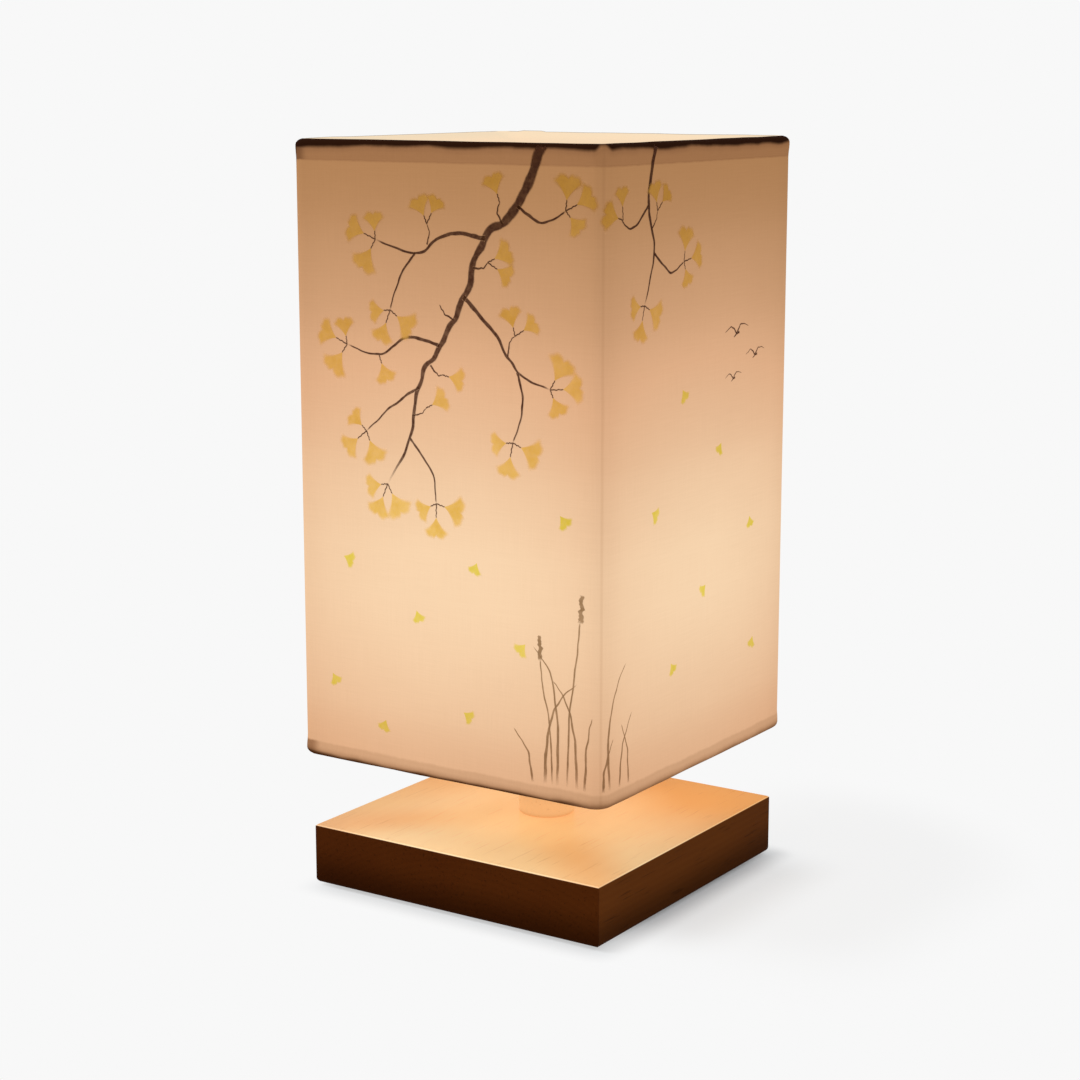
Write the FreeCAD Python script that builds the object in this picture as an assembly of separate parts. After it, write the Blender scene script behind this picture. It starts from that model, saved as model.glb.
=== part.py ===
import FreeCAD, Part
import math
import os

# Bedside lamp: a square fabric shade clamped on a bulb holder, which stands on a square wooden base.
# Millimetres, +Z up, origin in the middle of the plane that the foot pads rest on, front towards -Y.
# Every piece is its own solid. The holder stands on the base, the ring and the shade lift off upwards,
# the shade turns about the holder, and the bulb comes out through the open top of the shade.

# Base
BASE_WIDTH = 124.0
BASE_THICKNESS = 22.5
BASE_TOP_ARRIS = 0.5
BASE_BOTTOM_ROUND = 2.0
PAD_DIAMETER = 14.0
PAD_THICKNESS = 1.0
PAD_EDGE_MARGIN = 7.0
POCKET_DIAMETER = 56.0
POCKET_DEPTH = 12.0
COVER_SEAT_WIDTH = 8.0
COVER_THICKNESS = 1.6
COVER_SCREWS = 3
COVER_SCREW_FIRST_ANGLE = 30.0

# Fasteners
WOOD_SCREW_DIAMETER = 2.8
WOOD_SCREW_GRIP = 8.0
SCREW_SLOT_WIDTH = 0.7
SCREW_SLOT_DEPTH = 0.6

# Cord inlet in the back of the base
CORD_BORE_DIAMETER = 6.2
GROMMET_WALL = 0.9
GROMMET_FLANGE_WIDTH = 1.6
GROMMET_FLANGE_THICKNESS = 1.2
GROMMET_GRIP = 8.0
CORD_HOLE_FLOOR = 3.0

# Stem
TUBE_DIAMETER = 10.0
TUBE_WALL = 1.2
TUBE_END_BELOW_NUT = 2.0
TUBE_END_IN_HOLDER = 0.6
NUT_ACROSS_FLATS = 14.0
NUT_THICKNESS = 3.0
WASHER_DIAMETER = 18.0
WASHER_THICKNESS = 1.0
COLLAR_DIAMETER = 21.0
COLLAR_ROUND = 0.8

# Wiring
LEAD_DIAMETER = 1.8
LEAD_SPACING = 3.4
LEAD_BEND_RADIUS = 3.5
LEAD_RUN_SHARE = 0.45
BLOCK_WIDTH = 18.0
BLOCK_DEPTH = 9.0
BLOCK_HEIGHT = 9.0
BLOCK_POLE_SPACING = 9.0
BLOCK_POLE_SCREW_DIAMETER = 3.0
BLOCK_POLE_SCREW_LENGTH = 4.0
BLOCK_SCREW_PROUD = 0.4
BLOCK_SCREW_GRIP = 4.0

# Bulb holder
HOLDER_DIAMETER = 39.0
HOLDER_WALL = 2.2
NECK_DIAMETER = 19.0
NECK_HEIGHT = 3.0
NECK_STRAIGHT = 0.5
BOWL_HEIGHT = 6.5
WIRING_HEIGHT = 11.0
WIRING_FLOOR_MARGIN = 6.5
CARRIER_LEDGE = 1.8
CARRIER_THICKNESS = 3.4
SPIGOT_HEIGHT = 4.0
FLANGE_DIAMETER = 48.0
FLANGE_THICKNESS = 2.0
SKIRT_HEIGHT = 21.0
SKIRT_LIP = 2.0
TERMINAL_LENGTH = 8.0
TERMINAL_WIDTH = 7.0
TERMINAL_HEIGHT = 4.5
TERMINAL_SCREW_DIAMETER = 3.0
TERMINAL_SCREW_HEAD = 1.2
RIVET_DIAMETER = 2.0
RIVET_HEAD_THICKNESS = 0.6
CONTACT_WIDTH = 4.0
CONTACT_THICKNESS = 0.5
CONTACT_RISE = 1.7
SHELL_THICKNESS = 0.4
SHELL_DEPTH = 24.0
SHELL_FLOOR_HOLE = 12.0

# Bulb
BULB_CAP_DIAMETER = 26.0
BULB_CAP_LENGTH = 21.0
BULB_CAP_WALL = 0.4
CONTACT_DOME_DIAMETER = 9.0
CONTACT_DOME_HEIGHT = 1.8
INSULATOR_HEIGHT = 4.2
INSULATOR_TOP_DIAMETER = 23.0
HOUSING_FOOT_DIAMETER = 29.0
HOUSING_HEIGHT = 16.0
DOME_DIAMETER = 37.0
DOME_STRAIGHT = 15.0
DOME_WALL = 1.2
BOARD_THICKNESS = 1.2
CHIP_SIZE = 2.8
CHIP_HEIGHT = 0.7
CHIPS = 8

# Shade
SHADE_WIDTH = 130.0
SHADE_HEIGHT = 223.0
SHADE_GAP = 28.0
SHADE_CORNER_RADIUS = 5.0
FABRIC_THICKNESS = 0.4
LINER_THICKNESS = 0.4
WIRE_DIAMETER = 2.6
HEM_DEPTH = 8.0
HEM_RETURN_ANGLE = 45.0
SEAM_LAP_WIDTH = 10.0
SEAM_FROM_CORNER = 12.0
FITTER_THICKNESS = 1.2
FITTER_RIM = 7.8
RING_HEIGHT = 7.0
RING_FLANGE_THICKNESS = 3.0
RING_COLLAR_WALL = 3.4
RING_GRIPS = 36
RING_GRIP_DIAMETER = 2.4

# Clearances
THREAD_CLEARANCE = 0.05
PUSH_CLEARANCE = 0.2
RUNNING_CLEARANCE = 0.3
FITTER_CLEARANCE = 0.7

# Heights, worked upwards from the floor
BASE_BOTTOM = PAD_THICKNESS
BASE_TOP = BASE_BOTTOM + BASE_THICKNESS
POCKET_CEILING = BASE_BOTTOM + POCKET_DEPTH
COVER_TOP = BASE_BOTTOM + COVER_THICKNESS
SHADE_BOTTOM = BASE_TOP + SHADE_GAP
SHADE_TOP = SHADE_BOTTOM + SHADE_HEIGHT

# The hem wraps the wire concentrically, outside the liner, so one radius places the wire in the shade
WIRE_RADIUS = WIRE_DIAMETER / 2
HEM_RADIUS = WIRE_RADIUS + LINER_THICKNESS + FABRIC_THICKNESS
BOTTOM_WIRE_Z = SHADE_BOTTOM + HEM_RADIUS
TOP_WIRE_Z = SHADE_TOP - HEM_RADIUS
WIRE_REACH = SHADE_WIDTH / 2 - HEM_RADIUS
BOTTOM_HEM_END = SHADE_BOTTOM + HEM_DEPTH
TOP_HEM_END = SHADE_TOP - HEM_DEPTH

# The fitter lies on the spider arms and rests on the holder's flange
FITTER_BOTTOM = BOTTOM_WIRE_Z + WIRE_RADIUS
FITTER_TOP = FITTER_BOTTOM + FITTER_THICKNESS
FLANGE_BOTTOM = FITTER_BOTTOM - FLANGE_THICKNESS
CARRIER_TOP = FLANGE_BOTTOM - SPIGOT_HEIGHT
CARRIER_BOTTOM = CARRIER_TOP - CARRIER_THICKNESS
HOLDER_FLOOR = CARRIER_BOTTOM - WIRING_HEIGHT
HOLDER_BOTTOM = HOLDER_FLOOR - NECK_HEIGHT
SKIRT_TOP = FITTER_BOTTOM + SKIRT_HEIGHT
TUBE_TOP = HOLDER_FLOOR + TUBE_END_IN_HOLDER
NUT_TOP = POCKET_CEILING - WASHER_THICKNESS
NUT_BOTTOM = NUT_TOP - NUT_THICKNESS
TUBE_BOTTOM = NUT_BOTTOM - TUBE_END_BELOW_NUT

# The bulb's tip stands just over the spring contact, and its cap in the screw shell
CONTACT_TOP = CARRIER_TOP + CONTACT_THICKNESS + CONTACT_RISE
BULB_TIP = CONTACT_TOP + RUNNING_CLEARANCE
INSULATOR_BOTTOM = BULB_TIP + CONTACT_DOME_HEIGHT
BULB_CAP_BOTTOM = INSULATOR_BOTTOM + INSULATOR_HEIGHT
HOUSING_BOTTOM = BULB_CAP_BOTTOM + BULB_CAP_LENGTH
DOME_BOTTOM = HOUSING_BOTTOM + HOUSING_HEIGHT

# Radii that several pieces share
TUBE_RADIUS = TUBE_DIAMETER / 2
TUBE_BORE_RADIUS = TUBE_RADIUS - TUBE_WALL
POCKET_RADIUS = POCKET_DIAMETER / 2
COVER_SEAT_RADIUS = POCKET_RADIUS + COVER_SEAT_WIDTH
COVER_SCREW_CIRCLE = POCKET_RADIUS + COVER_SEAT_WIDTH / 2
WOOD_SCREW_RADIUS = WOOD_SCREW_DIAMETER / 2
WOOD_SCREW_HEAD_RADIUS = WOOD_SCREW_DIAMETER
CORD_BORE_RADIUS = CORD_BORE_DIAMETER / 2
GROMMET_RADIUS = CORD_BORE_RADIUS + GROMMET_WALL
CORD_HOLE_Z = BASE_BOTTOM + CORD_HOLE_FLOOR + GROMMET_RADIUS
HOLDER_RADIUS = HOLDER_DIAMETER / 2
HOLDER_INNER_RADIUS = HOLDER_RADIUS - HOLDER_WALL
WIRING_RADIUS = HOLDER_INNER_RADIUS - CARRIER_LEDGE
BULB_CAP_RADIUS = BULB_CAP_DIAMETER / 2
SHELL_INNER_RADIUS = BULB_CAP_RADIUS + RUNNING_CLEARANCE
SHELL_OUTER_RADIUS = SHELL_INNER_RADIUS + SHELL_THICKNESS
DOME_RADIUS = DOME_DIAMETER / 2
FITTER_INNER_RADIUS = HOLDER_RADIUS + FITTER_CLEARANCE
FITTER_OUTER_RADIUS = FITTER_INNER_RADIUS + FITTER_RIM
ARM_INNER_END = FLANGE_DIAMETER / 2 + 2 * RUNNING_CLEARANCE
RING_INNER_RADIUS = HOLDER_RADIUS + RUNNING_CLEARANCE
BLOCK_Y = (WASHER_DIAMETER / 2 + POCKET_RADIUS) / 2
BLOCK_BOTTOM = POCKET_CEILING - BLOCK_HEIGHT
BLOCK_SCREW_TOP = POCKET_CEILING + BLOCK_SCREW_GRIP
RIVET_RADIUS = RIVET_DIAMETER / 2
RIVET_BOTTOM = CARRIER_BOTTOM - TERMINAL_HEIGHT / 2
SHELL_RIVET_X = (SHELL_FLOOR_HOLE / 2 + SHELL_INNER_RADIUS) / 2
CONTACT_RIVET_X = (SHELL_FLOOR_HOLE - CONTACT_WIDTH) / 2

ORIGIN = FreeCAD.Vector(0, 0, 0)
UP = FreeCAD.Vector(0, 0, 1)
QUARTER_TURNS = (0, 90, 180, 270)
PARTS_FOLDER = "parts"


def on_axis(radius, height):
    """A point of a turned piece's outline, in the XZ plane."""
    return FreeCAD.Vector(radius, 0, height)


def in_front_wall(depth, height):
    """A point of the wall section at the start of the front's straight run, depth inwards from its face."""
    return FreeCAD.Vector(SHADE_CORNER_RADIUS - SHADE_WIDTH / 2, depth - SHADE_WIDTH / 2, height)


def outline(place, start, *steps):
    """Closed wire from start through the steps. A step is a point, or a pair (point on an arc, arc's end)."""
    edges = []
    here = start
    for step in steps + (start,):
        if isinstance(step[0], tuple):
            middle, end = step
            edges.append(Part.Arc(place(*here), place(*middle), place(*end)).toShape())
        else:
            end = step
            edges.append(Part.LineSegment(place(*here), place(*end)).toShape())
        here = end
    return Part.Wire(edges)


def turned(start, *steps):
    """Solid of revolution about Z of an outline of (radius, height) points."""
    return Part.Face(outline(on_axis, start, *steps)).revolve(ORIGIN, UP, 360)


def cylinder(radius, bottom, top, x=0.0, y=0.0):
    return Part.makeCylinder(radius, top - bottom, FreeCAD.Vector(x, y, bottom))


def tube(outer, inner, bottom, top):
    return cylinder(outer, bottom, top).cut(cylinder(inner, bottom, top))


def block(x_size, y_size, bottom, top, x=0.0, y=0.0):
    """Box with its middle at x, y."""
    corner = FreeCAD.Vector(x - x_size / 2, y - y_size / 2, bottom)
    return Part.makeBox(x_size, y_size, top - bottom, corner)


def around_shade(section):
    """Sweeps a wall section round the rounded square: each side is straight, each corner a quarter turn."""
    face = Part.Face(section)
    half = SHADE_WIDTH / 2 - SHADE_CORNER_RADIUS
    side = face.extrude(FreeCAD.Vector(2 * half, 0, 0))
    corner = face.translated(FreeCAD.Vector(2 * half, 0, 0))
    corner = corner.revolve(FreeCAD.Vector(half, -half, 0), UP, 90)
    runs = []
    for angle in QUARTER_TURNS:
        runs += [side.rotated(ORIGIN, UP, angle), corner.rotated(ORIGIN, UP, angle)]
    return runs[0].multiFuse(runs[1:]).removeSplitter()


def polar_places(count, radius, first_angle):
    """Points evenly spaced on a circle, as (x, y)."""
    angles = [math.radians(first_angle + 360.0 * i / count) for i in range(count)]
    return [(radius * math.cos(angle), radius * math.sin(angle)) for angle in angles]


def swept_lead(points, diameter):
    """Round wire along straight runs joined by tangent arcs, as large as the runs and the stem tube allow."""
    path = []
    here = points[0]
    for before, corner, after in zip(points, points[1:], points[2:]):
        back = (before - corner).normalize()
        ahead = (after - corner).normalize()
        half_turn = (math.pi - back.getAngle(ahead)) / 2
        room = LEAD_RUN_SHARE * min((before - corner).Length, (after - corner).Length)
        radius = min(LEAD_BEND_RADIUS, room / math.tan(half_turn))
        setback = radius * math.tan(half_turn)
        start = corner + back * setback
        end = corner + ahead * setback
        inwards = (back + ahead).normalize()
        middle = corner + inwards * (radius / math.cos(half_turn) - radius)
        path.append(Part.LineSegment(here, start).toShape())
        path.append(Part.Arc(start, middle, end).toShape())
        here = end
        print("lead bend radius", round(radius, 2))
    path.append(Part.LineSegment(here, points[-1]).toShape())
    section = Part.Circle(points[0], points[1] - points[0], diameter / 2).toShape()
    wire = Part.Wire(path)
    lead = wire.makePipeShell([Part.Wire(section)], True, False)
    print("lead volume over section times length", lead.Volume / (wire.Length * math.pi * diameter**2 / 4))
    return lead


def slotted(screw, bottom, x, y, width):
    """Cuts a driver's slot into a screw head that faces down."""
    slot = block(width, SCREW_SLOT_WIDTH, bottom, bottom + SCREW_SLOT_DEPTH, x, y)
    return screw.cut(slot)


def edges_at_height(shape, height):
    """Edges that lie whole in a level plane."""
    tolerance = 1e-6
    return [
        edge
        for edge in shape.Edges
        if all(abs(vertex.Z - height) < tolerance for vertex in edge.Vertexes)
    ]


# Base

def cover_screw_places():
    return polar_places(COVER_SCREWS, COVER_SCREW_CIRCLE, COVER_SCREW_FIRST_ANGLE)


def base_block():
    """Square board with a pocket under it, a bore for the stem and a hole for the cord through its back."""
    board = block(BASE_WIDTH, BASE_WIDTH, BASE_BOTTOM, BASE_TOP)
    board = board.makeFillet(BASE_BOTTOM_ROUND, edges_at_height(board, BASE_BOTTOM))
    board = board.makeChamfer(BASE_TOP_ARRIS, edges_at_height(board, BASE_TOP))
    cuts = [
        cylinder(COVER_SEAT_RADIUS, BASE_BOTTOM, COVER_TOP),
        cylinder(POCKET_RADIUS, BASE_BOTTOM, POCKET_CEILING),
        cylinder(TUBE_RADIUS + PUSH_CLEARANCE, BASE_BOTTOM, BASE_TOP),
        cylinder(WOOD_SCREW_RADIUS, POCKET_CEILING, BLOCK_SCREW_TOP, 0, BLOCK_Y),
        cord_bore(GROMMET_RADIUS, 0, BASE_WIDTH / 2),
    ]
    for x, y in cover_screw_places():
        cuts.append(cylinder(WOOD_SCREW_RADIUS, BASE_BOTTOM, COVER_TOP + WOOD_SCREW_GRIP, x, y))
    return board.cut(cuts)


def cord_bore(radius, inner_y, outer_y):
    """Round bar along Y at the cord inlet's height."""
    start = FreeCAD.Vector(0, inner_y, CORD_HOLE_Z)
    return Part.makeCylinder(radius, outer_y - inner_y, start, FreeCAD.Vector(0, 1, 0))


def foot_pad(side_x, side_y):
    reach = BASE_WIDTH / 2 - PAD_EDGE_MARGIN - PAD_DIAMETER / 2
    return cylinder(PAD_DIAMETER / 2, 0, PAD_THICKNESS, side_x * reach, side_y * reach)


def base_cover():
    """Disc that closes the pocket, let into its seat flush with the board."""
    disc = cylinder(COVER_SEAT_RADIUS - RUNNING_CLEARANCE, BASE_BOTTOM, COVER_TOP)
    holes = [countersunk_screw(x, y, PUSH_CLEARANCE) for x, y in cover_screw_places()]
    return disc.cut(holes)


def countersunk_screw(x, y, oversize=0.0):
    """Wood screw from below, its head flush with the board. With oversize it is the hole for one."""
    head = Part.makeCone(
        WOOD_SCREW_HEAD_RADIUS + oversize, WOOD_SCREW_RADIUS + oversize, COVER_THICKNESS,
        FreeCAD.Vector(x, y, BASE_BOTTOM),
    )
    shank = cylinder(WOOD_SCREW_RADIUS + oversize, BASE_BOTTOM, COVER_TOP + WOOD_SCREW_GRIP, x, y)
    return head.fuse(shank).removeSplitter()


def cover_screws():
    screws = []
    for x, y in cover_screw_places():
        screws.append(slotted(countersunk_screw(x, y), BASE_BOTTOM, x, y, 2 * WOOD_SCREW_HEAD_RADIUS))
    return Part.makeCompound(screws)


def cord_grommet():
    """Flanged bush in the back of the base, the inlet that a mains lead is drawn through."""
    back = BASE_WIDTH / 2
    body = cord_bore(GROMMET_RADIUS, back - GROMMET_GRIP, back)
    flange = cord_bore(GROMMET_RADIUS + GROMMET_FLANGE_WIDTH, back, back + GROMMET_FLANGE_THICKNESS)
    outer_rim = [edge for edge in flange.Edges if edge.BoundBox.YMin > back]
    flange = flange.makeFillet(GROMMET_FLANGE_THICKNESS / 2, outer_rim)
    bore = cord_bore(CORD_BORE_RADIUS, back - GROMMET_GRIP, back + GROMMET_FLANGE_THICKNESS)
    return body.fuse(flange).cut(bore).removeSplitter()


# Stem

def stem_tube():
    return tube(TUBE_RADIUS, TUBE_BORE_RADIUS, TUBE_BOTTOM, TUBE_TOP)


def stem_washer():
    return tube(WASHER_DIAMETER / 2, TUBE_RADIUS + PUSH_CLEARANCE, NUT_TOP, POCKET_CEILING)


def stem_nut():
    corner_radius = NUT_ACROSS_FLATS / 2 / math.cos(math.pi / 6)
    corners = [FreeCAD.Vector(x, y, NUT_BOTTOM) for x, y in polar_places(6, corner_radius, 0)]
    prism = Part.Face(Part.makePolygon(corners + corners[:1])).extrude(UP * NUT_THICKNESS)
    return prism.cut(cylinder(TUBE_RADIUS + THREAD_CLEARANCE, NUT_BOTTOM, NUT_TOP))


def stem_collar():
    """Turned wooden spacer between the base and the holder, as tall as the shade's gap asks."""
    ring = tube(COLLAR_DIAMETER / 2, TUBE_RADIUS + PUSH_CLEARANCE, BASE_TOP, HOLDER_BOTTOM)
    rims = [
        edge
        for edge in edges_at_height(ring, BASE_TOP) + edges_at_height(ring, HOLDER_BOTTOM)
        if edge.BoundBox.XMax > TUBE_RADIUS + 2 * PUSH_CLEARANCE
    ]
    return ring.makeFillet(COLLAR_ROUND, rims)


# Wiring

def terminal_block():
    """Two-pole block screwed to the pocket's ceiling, where a mains lead joins the lamp's own leads."""
    body = block(BLOCK_WIDTH, BLOCK_DEPTH, BLOCK_BOTTOM, POCKET_CEILING, 0, BLOCK_Y)
    holes = [cylinder(WOOD_SCREW_RADIUS + PUSH_CLEARANCE, BLOCK_BOTTOM, POCKET_CEILING, 0, BLOCK_Y)]
    for side in (-1, 1):
        x = side * BLOCK_POLE_SPACING / 2
        screw_radius = BLOCK_POLE_SCREW_DIAMETER / 2 + THREAD_CLEARANCE
        holes.append(cylinder(screw_radius, BLOCK_BOTTOM, BLOCK_BOTTOM + BLOCK_POLE_SCREW_LENGTH, x, BLOCK_Y))
    return body.cut(holes)


def block_screw():
    """Holds the terminal block up into the wood."""
    head_bottom = BLOCK_BOTTOM - BLOCK_SCREW_PROUD
    head = cylinder(WOOD_SCREW_HEAD_RADIUS, head_bottom, BLOCK_BOTTOM, 0, BLOCK_Y)
    shank = cylinder(WOOD_SCREW_RADIUS, BLOCK_BOTTOM, BLOCK_SCREW_TOP, 0, BLOCK_Y)
    return head.fuse(shank).removeSplitter()


def block_pole_screws():
    screws = []
    for side in (-1, 1):
        x = side * BLOCK_POLE_SPACING / 2
        radius = BLOCK_POLE_SCREW_DIAMETER / 2
        screw = cylinder(radius, BLOCK_BOTTOM, BLOCK_BOTTOM + BLOCK_POLE_SCREW_LENGTH, x, BLOCK_Y)
        screws.append(slotted(screw, BLOCK_BOTTOM, x, BLOCK_Y, 2 * radius))
    return Part.makeCompound(screws)


def lead(side):
    """One lead from the terminal block, under the stem tube, up through it and out to a holder terminal."""
    low = TUBE_BOTTOM - LEAD_DIAMETER
    rise = LEAD_DIAMETER / 2
    terminal_bottom = CARRIER_BOTTOM - TERMINAL_HEIGHT
    in_tube = side * LEAD_SPACING / 2
    at_terminal = side * terminal_middle()
    at_pole = side * BLOCK_POLE_SPACING / 2
    block_face = BLOCK_Y - BLOCK_DEPTH / 2
    points = [
        FreeCAD.Vector(at_pole, block_face, low),
        FreeCAD.Vector(at_pole, block_face - LEAD_DIAMETER, low),
        FreeCAD.Vector(in_tube, 0, low),
        FreeCAD.Vector(in_tube, 0, TUBE_TOP + rise),
        FreeCAD.Vector(at_terminal, 0, terminal_bottom - rise),
        FreeCAD.Vector(at_terminal, 0, terminal_bottom),
    ]
    return swept_lead(points, LEAD_DIAMETER)


# Bulb holder

def terminal_middle():
    """Distance of each holder terminal's middle from the axis: its inner end is clear of the tube's bore."""
    return CONTACT_RIVET_X - 2 * RIVET_RADIUS + TERMINAL_LENGTH / 2


def holder_cap():
    """Lower half of the holder: a neck on the stem tube that swells into a bowl with a ledge inside."""
    bowl_top = HOLDER_BOTTOM + NECK_STRAIGHT + BOWL_HEIGHT
    swell = HOLDER_RADIUS - NECK_DIAMETER / 2
    bowl_middle = (
        NECK_DIAMETER / 2 + swell * math.sin(math.pi / 4),
        bowl_top - BOWL_HEIGHT * math.cos(math.pi / 4),
    )
    floor_radius = HOLDER_RADIUS - WIRING_FLOOR_MARGIN
    return turned(
        (TUBE_RADIUS + THREAD_CLEARANCE, HOLDER_BOTTOM),
        (NECK_DIAMETER / 2, HOLDER_BOTTOM),
        (NECK_DIAMETER / 2, HOLDER_BOTTOM + NECK_STRAIGHT),
        (bowl_middle, (HOLDER_RADIUS, bowl_top)),
        (HOLDER_RADIUS, FLANGE_BOTTOM),
        (HOLDER_INNER_RADIUS, FLANGE_BOTTOM),
        (HOLDER_INNER_RADIUS, CARRIER_BOTTOM),
        (WIRING_RADIUS, CARRIER_BOTTOM),
        (WIRING_RADIUS, bowl_top),
        (floor_radius, HOLDER_FLOOR),
        (TUBE_RADIUS + THREAD_CLEARANCE, HOLDER_FLOOR),
    )


def contact_carrier():
    """Ceramic disc on the cap's ledge, held down by the skirt, that carries the contacts."""
    disc = cylinder(HOLDER_INNER_RADIUS - RUNNING_CLEARANCE, CARRIER_BOTTOM, CARRIER_TOP)
    holes = [
        cylinder(RIVET_RADIUS + THREAD_CLEARANCE, CARRIER_BOTTOM, CARRIER_TOP, -CONTACT_RIVET_X),
        cylinder(RIVET_RADIUS + THREAD_CLEARANCE, CARRIER_BOTTOM, CARRIER_TOP, SHELL_RIVET_X),
    ]
    return disc.cut(holes)


def holder_terminal(side):
    """Brass terminal under the carrier, with the hole of its rivet and of its side screw."""
    bottom = CARRIER_BOTTOM - TERMINAL_HEIGHT
    rivet_x = -CONTACT_RIVET_X if side < 0 else SHELL_RIVET_X
    body = block(TERMINAL_LENGTH, TERMINAL_WIDTH, bottom, CARRIER_BOTTOM, side * terminal_middle())
    rivet_hole = cylinder(RIVET_RADIUS + THREAD_CLEARANCE, RIVET_BOTTOM, CARRIER_BOTTOM, rivet_x)
    return body.cut([rivet_hole, terminal_screw(side, THREAD_CLEARANCE)])


def terminal_screw(side, oversize=0.0):
    """Clamping screw in the front of a terminal."""
    x = side * terminal_middle()
    z = CARRIER_BOTTOM - TERMINAL_HEIGHT / 2
    start = FreeCAD.Vector(x, -TERMINAL_WIDTH / 2 - TERMINAL_SCREW_HEAD, z)
    radius = TERMINAL_SCREW_DIAMETER / 2 + oversize
    length = TERMINAL_SCREW_HEAD + TERMINAL_WIDTH / 4
    return Part.makeCylinder(radius, length, start, FreeCAD.Vector(0, 1, 0))


def centre_contact():
    """Spring tongue under the bulb's tip, riveted through the carrier to the live terminal."""
    foot_end = -CONTACT_RIVET_X - RIVET_RADIUS
    knee = -CONTACT_RIVET_X + RIVET_RADIUS
    crown = CONTACT_WIDTH / 4
    tip = CONTACT_WIDTH / 2
    low = CARRIER_TOP
    high = low + CONTACT_RISE
    drop = high - CONTACT_RISE / 3
    lower_line = [(foot_end, low), (knee, low), (-crown, high), (crown, high), (tip, drop)]
    upper_line = [(x, z + CONTACT_THICKNESS) for x, z in reversed(lower_line)]
    section = outline(on_axis, *lower_line, *upper_line)
    tongue = Part.Face(section).extrude(FreeCAD.Vector(0, CONTACT_WIDTH, 0))
    tongue.translate(FreeCAD.Vector(0, -CONTACT_WIDTH / 2, 0))
    shank = cylinder(RIVET_RADIUS, RIVET_BOTTOM, CARRIER_TOP, -CONTACT_RIVET_X)
    return tongue.fuse(shank).removeSplitter()


def screw_shell():
    """Metal cup that the bulb screws into, riveted on the carrier with a hole over the spring tongue."""
    cup = tube(SHELL_OUTER_RADIUS, SHELL_FLOOR_HOLE / 2, CARRIER_TOP, CARRIER_TOP + SHELL_DEPTH)
    hollow = cylinder(SHELL_INNER_RADIUS, CARRIER_TOP + SHELL_THICKNESS, CARRIER_TOP + SHELL_DEPTH)
    floor_top = CARRIER_TOP + SHELL_THICKNESS
    rivet_hole = cylinder(RIVET_RADIUS + THREAD_CLEARANCE, CARRIER_TOP, floor_top, SHELL_RIVET_X)
    return cup.cut([hollow, rivet_hole])


def shell_rivet():
    """Joins the screw shell to the neutral terminal through the carrier."""
    head_bottom = CARRIER_TOP + SHELL_THICKNESS
    shank = cylinder(RIVET_RADIUS, RIVET_BOTTOM, head_bottom, SHELL_RIVET_X)
    head = cylinder(2 * RIVET_RADIUS, head_bottom, head_bottom + RIVET_HEAD_THICKNESS, SHELL_RIVET_X)
    return shank.fuse(head).removeSplitter()


def holder_skirt():
    """Upper half of the holder: a spigot in the cap, the flange under the shade and the threaded skirt."""
    spigot_radius = HOLDER_INNER_RADIUS - PUSH_CLEARANCE
    mouth_radius = SHELL_OUTER_RADIUS + RUNNING_CLEARANCE
    return turned(
        (WIRING_RADIUS, CARRIER_TOP),
        (spigot_radius, CARRIER_TOP),
        (spigot_radius, FLANGE_BOTTOM),
        (FLANGE_DIAMETER / 2, FLANGE_BOTTOM),
        (FLANGE_DIAMETER / 2, FITTER_BOTTOM),
        (HOLDER_RADIUS, FITTER_BOTTOM),
        (HOLDER_RADIUS, SKIRT_TOP),
        (mouth_radius, SKIRT_TOP),
        (mouth_radius, SKIRT_TOP - SKIRT_LIP),
        (HOLDER_INNER_RADIUS, SKIRT_TOP - SKIRT_LIP),
        (HOLDER_INNER_RADIUS, FITTER_BOTTOM),
        (WIRING_RADIUS, FITTER_BOTTOM),
    )


def shade_ring():
    """Ring nut that clamps the shade's fitter, with finger grips cut round its flange."""
    collar_radius = RING_INNER_RADIUS + RING_COLLAR_WALL
    ring = turned(
        (RING_INNER_RADIUS, FITTER_TOP),
        (FITTER_OUTER_RADIUS, FITTER_TOP),
        (FITTER_OUTER_RADIUS, FITTER_TOP + RING_FLANGE_THICKNESS),
        (collar_radius, FITTER_TOP + RING_FLANGE_THICKNESS),
        (collar_radius, FITTER_TOP + RING_HEIGHT),
        (RING_INNER_RADIUS, FITTER_TOP + RING_HEIGHT),
    )
    grips = [
        cylinder(RING_GRIP_DIAMETER / 2, FITTER_TOP, FITTER_TOP + RING_FLANGE_THICKNESS, x, y)
        for x, y in polar_places(RING_GRIPS, FITTER_OUTER_RADIUS + RING_GRIP_DIAMETER / 4, 0)
    ]
    return ring.cut(grips)


# Shade

def fitter_ring():
    return tube(FITTER_OUTER_RADIUS, FITTER_INNER_RADIUS, FITTER_BOTTOM, FITTER_TOP)


def spider_arm(angle):
    """Wire from under the fitter to the middle of one side of the bottom wire, coped to fit it."""
    start = FreeCAD.Vector(0, -ARM_INNER_END, BOTTOM_WIRE_Z)
    arm = Part.makeCylinder(WIRE_RADIUS, WIRE_REACH - ARM_INNER_END, start, FreeCAD.Vector(0, -1, 0))
    return arm.cut(wire_square(BOTTOM_WIRE_Z)).rotated(ORIGIN, UP, angle)


def wire_square(height):
    """Square of round wire inside the hem, with bent corners."""
    middle = in_front_wall(HEM_RADIUS, height)
    section = Part.Circle(middle, FreeCAD.Vector(1, 0, 0), WIRE_RADIUS).toShape()
    return around_shade(Part.Wire(section))


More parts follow.
